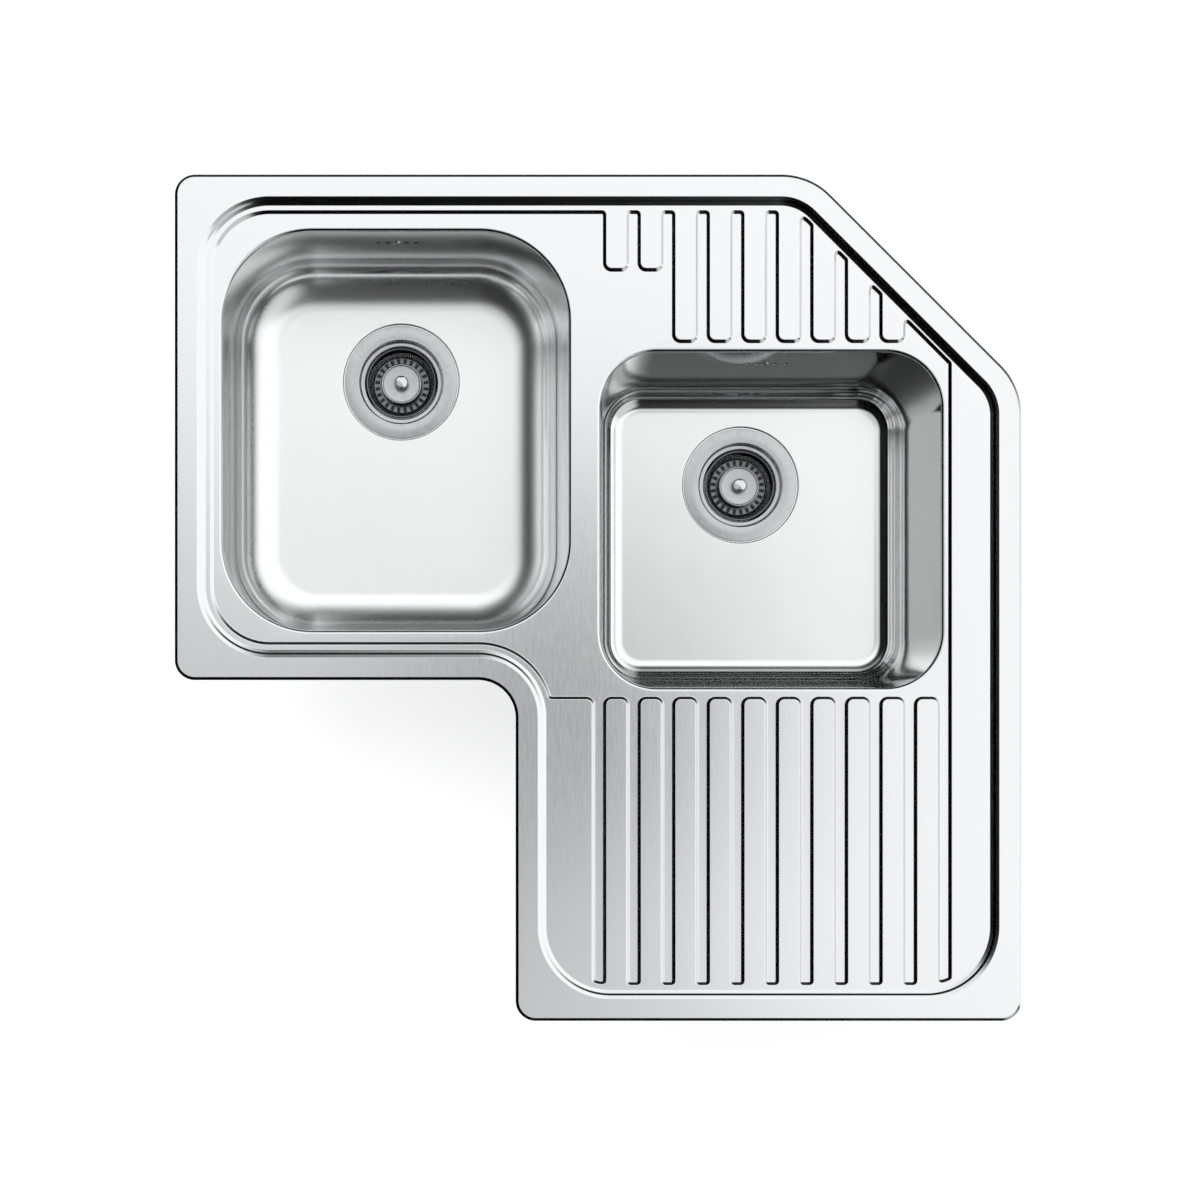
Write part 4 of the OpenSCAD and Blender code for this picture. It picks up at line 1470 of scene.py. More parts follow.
@dataclass
class Strainer(Fitting):
    """A 3 1/2 inch basket strainer: the flanged cup, and the basket with its cap and knob."""

    flange_r: float = 59.0
    cup_r: float = 42.8
    cup_low_r: float = 38.0
    cup_d: float = 34.0
    cup_t: float = 0.8
    # The cup's drain holes: how many, how far from the axis, and their radius
    holes: int = 8
    hole_at: float = 20.0
    hole_r: float = 5.0
    # The basket's floor, the ring of slots in it, and the bars left between the wall's holes
    sieve_floor: float = -27.1
    slots_from: float = 23.2
    slots_to: float = 28.2
    sieve_bar: float = 0.42
    sieve_t: float = 0.5
    steps: int = 96

    @property
    def centre(self) -> tuple[float, float, float]:
        """Where the drain's axis meets the bowl's floor."""
        return (*self.mouth.drain, FLOOR_Z)

    def finish(self, label: str, colour: str, roughness: float, ring_mm: float) -> TurnedSteel:
        """A turned steel finish whose rings run round this drain."""
        return TurnedSteel(self.name(label), colour, roughness, centre=self.mouth.drain, ring_mm=ring_mm)

    def cup(self) -> None:
        """The cup with its crowned flange, a ledge for the basket and eight drain holes."""
        profile = (circle_points(0.5, (self.flange_r - 0.5, -0.35), 0, 75, 3)
                   + [(56.0, 0.35), (53.0, 0.52), (50.0, 0.6), (47.5, 0.52)]
                   + circle_points(2.2, (45.0, -1.75), 80, 180, 7)
                   + [(self.cup_r, -5.5)]
                   + [(x, z) for x, z in circle_points(1.3, (41.5, -5.7), 0, -90, 4)][1:]
                   + circle_points(1.2, (39.2, -8.2), 90, 180, 4)
                   + [(self.cup_low_r, -31.0)]
                   + circle_points(3.0, (35.0, -31.0), 0, -90, 5)[1:]
                   + [(28.0, -self.cup_d), (8.0, -self.cup_d), (3.2, -self.cup_d)])
        piece = turned(self.name("strainer_cup_sheet"), profile, centre=self.centre)
        piece.face_out_at(lambda c: c.z < FLOOR_Z - self.cup_d + SAME * 5, Vector((0, 0, 1)))
        piece.modify("SOLIDIFY", thickness=self.cup_t * MM, offset=-1.0, use_even_offset=True)
        x, y, z = self.centre
        for k in range(self.holes):
            turn = 2 * math.pi * (k + 0.5) / self.holes
            place = (x + self.hole_at * math.cos(turn), y + self.hole_at * math.sin(turn), z - self.cup_d)
            piece.cut_away(pin("drill", place, (0, 0, 1), self.hole_r, 6.0))
        piece.dress(self.finish("half_bright_strainer_steel", "BFC0C1", 0.24, 1.1), "strainer_steel",
                    self.name("strainer_cup"), crease=35.0)

    def sieve(self) -> None:
        """The basket: a rolled rim, a perforated wall and a slotted floor."""
        wall = [(35.2 - 5.6 * k / 5, -9.6 - 16.2 * k / 5) for k in range(6)]
        rim = [(35.9, -9.7), (36.7, -8.6), (36.7, -7.2), (36.0, -6.3), (35.2, -6.4), (34.8, -7.4)]
        floor = [(29.0, self.sieve_floor + 0.2)]
        floor += [(radius, self.sieve_floor) for radius in (self.slots_to, self.slots_from, 19.5, 3.2)]
        profile = rim + wall + floor
        piece = turned(self.name("basket_sieve_sheet"), profile, self.steps, self.centre)
        cx, cy, cz = self.centre

        def polar(place: Vector) -> tuple[float, float]:
            """Distance from the axis and the number of the column of faces."""
            angle = math.degrees(math.atan2(place.y - cy, place.x - cx)) % 360
            return math.hypot(place.x - cx, place.y - cy), int(angle / 360 * self.steps)

        piece.select_faces(lambda c: self.slots_from < polar(c)[0] < self.slots_to
                           and polar(c)[1] % 4 in (1, 2))
        bpy.ops.mesh.delete(type="FACE")
        piece.select_faces(lambda c: -26.0 < c.z - cz < -9.6 and 29.4 < polar(c)[0] < 35.0)
        bpy.ops.mesh.inset(thickness=self.sieve_bar * MM, depth=0.0, use_individual=True,
                           use_even_offset=True)
        bpy.ops.mesh.delete(type="FACE")
        piece.face_out_at(lambda c: abs(c.z - cz - self.sieve_floor) < SAME and polar(c)[0] < 15,
                          Vector((0, 0, 1)))
        piece.modify("SOLIDIFY", thickness=self.sieve_t * MM, offset=-1.0)
        # The sieve's steel is painted a dark grey: painted shade and a painted dark reflection inside the
        # basket.
        piece.dress(self.finish("sieve_steel_painted_shade", "74767A", 0.2, 0.9), "strainer_steel",
                    self.name("basket_sieve"), self.name("basket_top"))

    def cap(self) -> None:
        """The domed cap over the basket's floor, with a bright rolled rim."""
        profile = ([(3.0, -13.4)] + [(8.5, -13.3), (14.0, -13.2), (18.6, -13.1)]
                   + circle_points(1.3, (20.1, -13.1), 175, -10, 9)
                   + [(21.3, -13.9), (20.4, -14.0), (3.0, -14.0), (3.0, -13.4)])
        piece = turned(self.name("basket_cap_disc"), profile, centre=self.centre)
        piece.merge()
        piece.dress(self.finish("satin_turned_cap", "BDBEC0", 0.27, 0.7), "polished_steel",
                    self.name("basket_cap"), self.name("basket_top"), crease=35.0)

    def knob(self) -> None:
        """The turned knob that the basket is lifted by."""
        profile = ([(0.0, -1.1), (1.9, -1.2), (3.9, -1.7)] + circle_points(2.2, (5.1, -4.1), 65, -40, 7)
                   + [(5.6, -6.6), (4.1, -7.8), (3.7, -9.6), (4.2, -10.9), (5.6, -11.7), (5.8, -12.0),
                      (3.0, -12.0), (0.0, -12.0)])
        piece = turned(self.name("basket_knob_turned"), profile, 64, self.centre)
        piece.merge()
        piece.dress(self.finish("polished_knob", "D2D3D4", 0.1, 0.4), "polished_steel",
                    self.name("basket_knob"), self.name("basket_top"), crease=35.0)

    def add(self) -> None:
        """Builds and dresses the strainer."""
        self.cup()
        self.sieve()
        self.cap()
        self.knob()


# Under the deck


@dataclass
class Waste(Fitting):
    """What hangs under a drain: the waste body, its seals and screw, and the basket's stem and plug."""

    flange_r: float = 56.4
    body_r: float = 48.0
    body_bore: float = 45.2
    top: float = -5.5
    flange_low: float = -8.3
    cone_top: float = -40.4
    cone_low: float = -67.8
    outlet_r: float = 23.9
    outlet_bore: float = 20.5
    outlet_low: float = -94.4
    thread_pitch: float = 2.3
    ribs: int = 16

    @property
    def place(self) -> Matrix:
        """Place of the drain, turned to the hose socket."""
        return place_at((*self.mouth.drain, FLOOR_Z), turn=self.mouth.socket_turn)

    def body(self) -> None:
        """The moulded cup with gussets, a cone, a threaded outlet, a boss on webs and a hose socket."""
        bore, outer, flange, pipe = self.body_bore, self.body_r, self.flange_r, self.outlet_r
        low, cone, foot, end = self.flange_low, self.cone_top, self.cone_low, self.outlet_low
        profile = [(bore, self.top), (flange - 0.8, self.top), (flange, self.top - 0.8),
                   (flange, low + 0.5), (flange - 0.5, low), (outer + 1.5, low), (outer, low - 1.5),
                   (outer, cone + 2.0), (outer - 0.8, cone), (outer - 2.6, cone - 2.2),
                   (pipe + 3.2, foot + 3.5),
                   (pipe + 1.2, foot + 1.2), (pipe, foot + 0.6), (pipe - 1.2, foot - 1.2),
                   (pipe - 1.2, end + 0.6), (pipe - 1.8, end), (self.outlet_bore, end),
                   (self.outlet_bore, foot + 2.4), (bore, cone + 1.0), (bore, self.top)]
        piece = turned(self.name("waste_body_moulding"), profile)
        winding = thread("winding", pipe, 1.3, self.thread_pitch, 23.0, 64)
        winding.put(place_at((0, 0, end + 1.0)))
        winding.hollow(pipe - 1.25)
        gussets = block("gusset", (outer - 0.6, -0.9, -22.0), (flange - 1.5, 0.9, low + 0.1))
        gussets.edit()
        gussets.select_vertices(lambda p: p.z < -20 and p.x > outer)
        bpy.ops.transform.translate(value=(-7.2 * MM, 0, 0))
        gussets.soften(0.25, 1)
        gussets.repeat([place_at((0, 0, 0), turn=360 * (k + 0.5) / self.ribs) for k in range(self.ribs)])
        collar = turned("collar", [
            (outer - 0.5, -30.2), (outer + 0.9, -30.0), (outer + 1.2, -29.3), (outer + 1.2, -28.7),
            (outer + 0.9, -28.0), (outer - 0.5, -27.8)])
        web = block("web", (7.0, -1.25, foot + 3.4), (43.0, 1.25, cone + 1.2))
        web.edit()
        web.select_vertices(lambda p: p.z < foot + 10 and p.x > 30)
        bpy.ops.transform.translate(value=(-22.3 * MM, 0, 0))
        web.repeat([place_at((0, 0, 0), turn=90 + 120 * k) for k in range(3)])
        boss = turned("boss", [
            (3.05, foot + 2.4), (7.2, foot + 2.4), (8.0, foot + 3.2), (8.0, -34.9), (3.05, -34.9),
            (3.05, foot + 2.4)], 48)
        reach = SOCKET_REACH - bore
        barbs = [(radius, reach - down) for k in range(3) for radius, down in
                 ((8.4, 2.6 + 3.6 * k), (8.0, 2.8 + 3.6 * k))]
        socket = turned("socket", [(6.8, 0.6), (6.8, reach - 0.4), (7.2, reach), (7.7, reach)] + barbs[:-1]
                        + [(8.1, reach - 10.0), (8.1, 5.2), (9.6, 3.6), (9.6, 0.6), (6.8, 0.6)], 40)
        socket.put(place_at((0, bore, SOCKET_Z), tilt=-90.0))
        piece.join(winding, gussets, collar, web, boss, socket)
        release_all()
        piece.put(self.place)
        piece.dress(WASTE_PLASTIC, "waste_plastic", self.name("waste_body"), crease=38.0)

    def seals(self) -> None:
        """The rubber ring under the bowl and the one under the strainer's flange."""
        low, high = self.top, self.top + 2.2
        ring = turned(self.name("waste_seal_ring"), [
            (45.9, low + 0.1), (self.flange_r - 0.9, low + 0.05), (self.flange_r - 0.1, low + 0.6),
            (self.flange_r + 0.2, (low + high) / 2), (self.flange_r - 0.1, high - 0.6),
            (self.flange_r - 0.9, high - 0.05), (45.9, high - 0.1), (45.9, low + 0.1)])
        ring.put(self.place)
        ring.dress(SEAL_RUBBER, "rubber_seal", self.name("waste_gasket"), crease=50.0)
        bed = turned(self.name("strainer_seal_ring"), [
            (46.1, -2.45), (57.6, -2.45), (57.95, -2.1), (57.95, -1.2), (57.6, -0.85), (46.1, -0.85),
            (46.1, -2.45)])
        bed.put(self.place)
        bed.dress(SEAL_RUBBER, "rubber_seal", self.name("strainer_gasket"), crease=50.0)

    def screw(self) -> None:
        """The screw that pulls the strainer cup and the waste body together."""
        head = turned(self.name("waste_screw_turned"), [
            (2.2, -45.0), (2.2, -31.4), (2.7, -31.0), (6.6, -31.0), (7.7, -31.6), (8.0, -32.6),
            (8.0, -33.9), (3.2, -33.95), (2.4, -34.4), (2.4, -56.4), (0.0, -56.8)], 48)
        winding = thread("winding", 2.95, 0.5, 1.0, 21.0)
        winding.put(place_at((0, 0, -56.4)))
        winding.hollow(2.42)
        head.join(winding)
        release_all()
        head.put(self.place)
        head.dress(SCREW_ZINC, "fastener_steel", self.name("waste_screw"), crease=35.0)

    def plug(self) -> None:
        """The stem of the basket with its ball groove, and the rubber plug on it."""
        plug_body = self.name("basket_plug")
        stem = turned(self.name("basket_stem_turned"), [
            (0.0, -40.9), (1.3, -40.9), (2.1, -40.1), (2.1, -37.6), (1.6, -37.2), (1.6, -36.4),
            (2.1, -36.0), (2.1, -30.6), (2.6, -30.5), (2.6, -9.2), (2.0, -8.5), (0.0, -8.4)], 40)
        stem.put(self.place)
        stem.dress(SCREW_ZINC, "fastener_steel", self.name("basket_stem"), plug_body, crease=35.0)
        seal = turned(self.name("basket_seal_moulded"), [
            (2.62, -27.6), (27.8, -27.6), (28.7, -27.9), (29.0, -28.7), (28.6, -29.6), (28.9, -31.0),
            (29.0, -33.2), (28.6, -33.65), (28.1, -33.5), (26.6, -31.0), (25.6, -30.4), (12.0, -30.35),
            (11.0, -30.1), (2.62, -30.1), (2.62, -27.6)])
        seal.put(self.place)
        seal.dress(SEAL_RUBBER, "rubber_seal", self.name("basket_seal"), plug_body, crease=50.0)

    def add(self) -> None:
        """Builds and dresses everything under the drain."""
        self.body()
        self.seals()
        self.screw()
        self.plug()


@dataclass
class Overflow(Fitting):
    """The overflow behind a bowl's back wall: its seal, collector and screw, and the ribbed hose."""

    width: float = 62.0
    height: float = 26.0
    seal_t: float = 2.0
    depth: float = 20.5
    hose_root: float = 10.35
    hose_crest: float = 11.9
    hose_bore: float = 9.3
    hose_pull: float = 70.0
    hose_grip: float = 12.0
    hose_ribs: int = 30

    def shell(self, name: str, steps: Sequence[Step], z: float, shrink: float) -> Workpiece:
        """Builds a shell up from the rounded outline of the overflow.

        Args:
            name: Name of the piece.
            steps: The profile of its wall, inward and up.
            z: Height of the outline.
            shrink: How far the outline lies inside the collector's.

        Returns:
            The shell in edit mode, with its last face selected.
        """
        corners = rounded_box(0, 0, self.width, self.height, self.height / 4, -shrink)
        piece = Workpiece.plate(name, corners, z, 8)
        piece.press(steps)
        return piece

    def collector(self) -> None:
        """The moulded collector with a sunk panel, two ribs, a screw boss and a spigot."""
        piece = self.shell(self.name("overflow_collector_moulding"),
                           [(0.0, self.depth - 3.0)] + bend(2.2, 90, 0, 4, rise=1)
                           + [(2.2, 0.0), (0.5, -1.2)], self.seal_t, 0.0)
        piece.modify("SOLIDIFY", thickness=1.7 * MM, offset=-1.0)
        boss = turned("boss", [(2.5, 10.0), (2.5, 23.2), (4.8, 23.2), (5.4, 22.6), (5.7, 10.0),
                               (2.5, 10.0)], 40)
        ribs = block("rib", (5.0, -0.9, 16.0), (25.0, 0.9, 22.2))
        ribs.soften(0.3, 1)
        ribs.repeat([place_at((0, 0, 0), turn=turn) for turn in (0.0, 180.0)])
        piece.join(boss, ribs)
        release_all()
        piece.put(OUTWARD)
        spigot = turned("spigot", [
            (6.8, 0.3), (7.3, 0.0), (7.7, 0.0), (8.4, 2.6), (8.0, 2.8), (8.4, 6.2), (8.0, 6.4), (8.4, 9.8),
            (8.1, 10.0), (8.1, 13.0), (8.5, 13.6), (8.5, 19.6), (6.8, 19.6), (6.8, 0.3)], 40, SPIGOT_TIP)
        piece.join(spigot)
        release_all()
        piece.put(self.mouth.overflow_place)
        piece.dress(WASTE_PLASTIC, "waste_plastic", self.name("overflow_collector"), crease=38.0)

    def seal(self) -> None:
        """The rubber frame between the wall and the collector."""
        piece = self.shell(self.name("overflow_seal_frame"), [(0.0, self.seal_t - 0.5), (0.4, 0.4)],
                           0.05, 0.15)
        piece.press([(5.2, 0.0), (0.4, -0.4), (0.0, 0.5 - self.seal_t)])
        piece.open_face()
        piece.close_level(0.05)
        piece.merge()
        piece.put(OUTWARD)
        piece.put(self.mouth.overflow_place)
        piece.dress(SEAL_RUBBER, "rubber_seal", self.name("overflow_gasket"), crease=50.0)

    def screw(self) -> None:
        """The raised-head screw in the bowl, with its slot."""
        piece = turned(self.name("overflow_screw_turned"), [
            (0.0, -2.9), (1.6, -2.85), (2.9, -2.55), (3.8, -1.9), (4.2, -1.1), (4.2, -0.8), (2.3, -0.8),
            (2.3, 12.6), (1.8, 13.1), (0.0, 13.1)], 40)
        piece.merge()
        piece.cut_away(block("slot", (-4.6, -0.45, -3.4), (4.6, 0.45, -2.2)))
        piece.put(OUTWARD)
        piece.put(self.mouth.overflow_place)
        piece.dress(SCREW_ZINC, "fastener_steel", self.name("overflow_screw"), crease=35.0)

    def route(self) -> list[Vector]:
        """The four guide points of the hose's curve, from the spigot to the waste body's socket."""
        place = self.mouth.overflow_place
        start = place @ (Vector(SPIGOT_TIP) * MM) / MM
        down = place.to_3x3() @ Vector((0, 0, -1))
        out = self.mouth.socket_way
        stop = Vector((*self.mouth.drain, FLOOR_Z + SOCKET_Z)) + out * SOCKET_REACH
        return [start, start + down * self.hose_pull, stop + out * self.hose_pull, stop]

    def length(self) -> float:
        """Length of the hose between its two sockets."""
        a, b, c, d = self.route()
        count = 200
        points = [a * (1 - t) ** 3 + b * 3 * t * (1 - t) ** 2 + c * 3 * t * t * (1 - t) + d * t ** 3
                  for t in (k / count for k in range(count + 1))]
        return sum((there - here).length for here, there in zip(points, points[1:]))

    def hose(self) -> None:
        """The blown hose: plain cuffs and round ribs, bent along its route."""
        length = self.length()
        pitch = length / self.hose_ribs
        rib = [(0.0, self.hose_root), (0.16, self.hose_root + 0.15), (0.3, self.hose_crest - 0.45),
               (0.42, self.hose_crest), (0.58, self.hose_crest), (0.7, self.hose_crest - 0.45),
               (0.84, self.hose_root + 0.15)]
        profile = [(self.hose_bore, -self.hose_grip), (self.hose_root, -self.hose_grip)]
        profile += [(radius, (k + share) * pitch) for k in range(self.hose_ribs) for share, radius in rib]
        profile += [(self.hose_root, length), (self.hose_root, length + self.hose_grip),
                    (self.hose_bore, length + self.hose_grip)]
        piece = turned(self.name("overflow_hose_blown"), profile, 32)
        release_all()
        guide = self.guide()
        piece.modify("CURVE", object=guide, deform_axis="POS_Z")
        release_all()
        guide.select_set(True)
        bpy.ops.object.delete()
        piece.dress(HOSE_PLASTIC, "hose_plastic", self.name("overflow_hose"), crease=60.0)
        LOG.info("%s is %.0f mm long", self.name("overflow_hose"), length + 2 * self.hose_grip)

    def guide(self) -> bpy.types.Object:
        """Draws the curve that the hose is bent along."""
        bpy.ops.curve.primitive_bezier_curve_add(location=(0, 0, 0))
        guide = bpy.context.object
        guide.data.resolution_u = 64
        a, b, c, d = self.route()
        ends = guide.data.splines[0].bezier_points
        for point, here, left, right in ((ends[0], a, 2 * a - b, b), (ends[1], d, c, 2 * d - c)):
            point.handle_left_type = point.handle_right_type = "FREE"
            point.co, point.handle_left, point.handle_right = here * MM, left * MM, right * MM
        return guide

    def clamp_places(self) -> list[Matrix]:
        """Places of the two hose clamps, with Z pointing back onto each spigot."""
        a, b, c, d = self.route()
        places = []
        for tip, back in ((a, (a - b).normalized()), (d, (d - c).normalized())):
            turn = Matrix.Rotation(math.atan2(back.y, back.x), 4, "Z")
            places.append(Matrix.Translation(tip * MM) @ turn @ Matrix.Rotation(math.acos(back.z), 4, "Y"))
        return places

    def add(self) -> None:
        """Builds and dresses the overflow."""
        self.seal()
        self.collector()
        self.screw()
        self.hose()


@dataclass
class HoseClamps:
    """Worm-drive clamps: a slotted band, a pressed housing and its screw."""

    band_r: float = 10.5
    band_t: float = 0.8
    low: float = 1.6
    high: float = 10.4
    housing: float = 5.6
    screw_r: float = 2.6

    def add(self) -> None:
        """Builds one clamp, copies it to the hoses' ends and dresses them."""
        inner, outer, low, high = self.band_r, self.band_r + self.band_t, self.low, self.high
        piece = turned("hose_clamps_worm_drive", [
            (inner, low), (outer, low), (outer + 0.25, low + 0.5), (outer, low + 1.0), (outer, high - 1.0),
            (outer + 0.25, high - 0.5), (outer, high), (inner, high), (inner, low)], 64)
        housing = block("housing", (outer - 0.4, -6.0, low + 0.2), (outer + self.housing, 6.0, high - 0.2))
        housing.soften(1.4, 4)
        x, z = outer + self.housing * 0.55, (low + high) / 2
        worm = thread("worm", self.screw_r, 0.6, 1.4, 15.0, 20)
        worm.put(place_at((x, -6.8, z), tilt=-90.0))
        head = pin("head", (x, -8.2, z), (0, 1, 0), 3.4, 4.4, 6)
        head.soften(0.3)
        head.cut_away(block("slot", (x - 4, -11.0, z - 0.4), (x + 4, -9.2, z + 0.4)))
        piece.join(housing, worm, head)
        release_all()
        piece.repeat([place for mouth in MOUTHS for place in Overflow(mouth).clamp_places()])
        piece.dress(SCREW_ZINC, "fastener_steel", "hose_clamps", crease=35.0)


@dataclass
class Clips:
    """Eight worktop clips: a bracket welded under the rim, a screw and a toothed claw that swings on it."""

    from_end: float = 150.0
    screw_at: float = 19.0
    bracket_from: float = 12.0
    web_at: float = 25.8
    bracket_top: float = 3.5
    # The top flange leans down under the recess wall from here to the web's top
    lean_from: float = 20.2
    web_top: float = 0.3
    bracket_low: float = -12.6
    bracket_w: float = 24.0
    bracket_t: float = 1.2
    screw_r: float = 2.45
    head_r: float = 4.5
    head_low: float = -56.0
    head_top: float = -52.0
    tip: float = -5.2
    claw_z: float = -51.25
    claw_t: float = 1.5
    claw_w: float = 16.0
    claw_end: float = 27.0
    finger_at: float = 3.25
    finger_top: float = -38.0
    teeth: int = 3

    def places(self) -> list[Matrix]:
        """Places of the clips: the origin on the deck's edge, and X pointing into the deck."""
        near, far = self.from_end - HALF, HALF - Deck.cut_leg - self.from_end
        middle = (HALF + ARM) / 2
        rows = [(-HALF, middle, 0), (near, HALF, -90), (far, HALF, -90), (HALF, far, 180), (HALF, near, 180),
                (middle, -HALF, 90), (ARM, near, 0), (near, ARM, 90)]
        return [place_at((x, y, 0), turn=turn) for x, y, turn in rows]

    def bracket(self) -> Workpiece:
        """Folds a bracket, with a tapped collar for the screw."""
        piece = bent_strip("clip_brackets_folded", [
            (self.bracket_from, self.bracket_low), (self.web_at, self.bracket_low),
            (self.web_at, self.web_top), (self.lean_from, self.bracket_top),
            (self.bracket_from, self.bracket_top)], 1.6, self.bracket_w, self.bracket_t)
        piece.cut_away(pin("drill", (self.screw_at, 0, self.bracket_low), (0, 0, 1), self.screw_r + 0.1, 6.0))
        piece.soften(0.22)
        low = self.bracket_low + self.bracket_t / 2
        collar = turned("collar", [(2.55, low - 0.1), (3.9, low - 0.1), (3.5, low + 0.4), (3.4, low + 1.8),
                                   (3.1, low + 2.1), (2.55, low + 2.1)], 32, (self.screw_at, 0, 0))
        piece.join(collar)
        release_all()
        return piece

    def screw(self) -> Workpiece:
        """Turns a screw with a slotted pan head that is driven from below."""
        x, outer, low, top = self.screw_at, self.head_r, self.head_low, self.head_top
        head = turned("clip_screw_turned", [
            (0.0, low), (outer - 1.2, low), (outer - 0.3, low + 0.5), (outer, low + 1.3),
            (outer, top - 0.3), (outer - 0.3, top - 0.02), (0.0, top - 0.02)], 40, (x, 0, 0))
        head.merge()
        head.cut_away(block("slot", (x - 5, -0.75, low - 1), (x + 5, 0.75, low + 1.5)))
        shank = thread("shank", self.screw_r, 0.4, 1.25, self.tip - top, 20)
        shank.put(place_at((x, 0, top - 0.02)))
        head.join(shank)
        release_all()
        return head

    def claw(self) -> Workpiece:
        """Folds a claw and cuts the teeth in its finger."""
        piece = bent_strip("clip_claw_folded", [
            (self.claw_end, self.claw_z), (self.finger_at, self.claw_z),
            (self.finger_at, self.finger_top)], 1.5, self.claw_w, self.claw_t)
        piece.cut_away(pin("drill", (self.screw_at, 0, self.claw_z), (0, 0, 1), self.screw_r + 0.1, 6.0))
        step = self.claw_w / self.teeth
        for k in range(self.teeth):
            notch = block("notch", (-3, -0.95, -0.95), (3, 0.95, 0.95))
            across = (k - (self.teeth - 1) / 2) * step
            notch.put(place_at((self.finger_at, across, self.finger_top), tilt=45.0))
            piece.cut_away(notch)
        piece.soften(0.22)
        return piece

    def add(self) -> None:
        """Builds and dresses the eight clips."""
        places = self.places()
        bracket = self.bracket()
        bracket.repeat(places)
        bracket.dress(STRIP_ZINC, "galvanised_steel", "clip_brackets", crease=35.0)
        for model, finish, slot, part in ((self.screw(), SCREW_ZINC, "fastener_steel", "screw"),
                                          (self.claw(), STRIP_ZINC, "galvanised_steel", "claw")):
            for k, place in enumerate(places, 1):
                piece = model.twin(f"clip_{part}_{k}_piece")
                piece.put(place)
                piece.dress(finish, slot, f"clip_{part}_{k}", f"clip_{k}_{part}", crease=35.0)
            model.drop()


@dataclass
class UnderDeck:
    """The foam band under the rim and the damping pads under the bowls."""

    band_from: float = 3.6
    band_w: float = 6.4
    band_top: float = 4.15
    pad_w: float = 180.0
    pad_l: float = 90.0
    pad_t: float = 2.0
    pad_r: float = 15.0
    # Distance from the drain's axis to the pad's middle
    pad_off: float = 120.3

    def band(self) -> None:
        """The foam band, which follows the rim."""
        d = self.band_from
        corners = l_outline(d, Deck.rim_r - d, Deck.rim_inner_r + d, Deck.rim_cut_r - d)
        piece = Workpiece.plate("rim_gasket_foam", corners, 0.0, 16)
        piece.press([(0.0, self.band_top - 0.7), (0.7, 0.7), (self.band_w - 1.4, 0.0), (0.7, -0.7),
                     (0.0, 0.7 - self.band_top)])
        piece.open_face()
        piece.close_level(0.0)
        piece.merge()
        piece.dress(RIM_FOAM, "foam_seal", "rim_gasket", crease=50.0)

    def pads(self) -> None:
        """The damping pads, one under each bowl."""
        pieces = []
        top = FLOOR_Z - SHEET_T
        for mouth in MOUTHS:
            corners = rounded_box(mouth.x - FLOOR_SHIFT, mouth.drain[1] - self.pad_off, self.pad_w,
                                  self.pad_l, self.pad_r, 0.0)
            piece = Workpiece.plate("sound_pads_pressed", corners, top, 8)
            bpy.ops.mesh.flip_normals()
            piece.press([(0.0, self.pad_t - 0.6), (0.5, 0.6)])
            pieces.append(piece)
        pieces[0].join(pieces[1])
        pieces[0].dress(PAD_BITUMEN, "bitumen_pad", "sound_pads", crease=30.0)

    def add(self) -> None:
        """Builds and dresses the band and the pads."""
        self.band()
        self.pads()


# The studio


def white_rays(tree: NodeTree) -> NodeSocket:
    """Picks the rays that have to meet a white background.

    Args:
        tree: The node tree.

    Returns:
        The socket that is 1 for rays from the camera, mirrors and glass, and 0 for the others.
    """
    rays = add_node(tree, "LightPath").outputs
    seen = rays["Is Camera Ray"]
    for other in ("Is Glossy Ray", "Is Transmission Ray"):
        seen = add_node(tree, "Math", {0: seen, 1: rays[other]}, operation="MAXIMUM").outputs[0]
    return seen


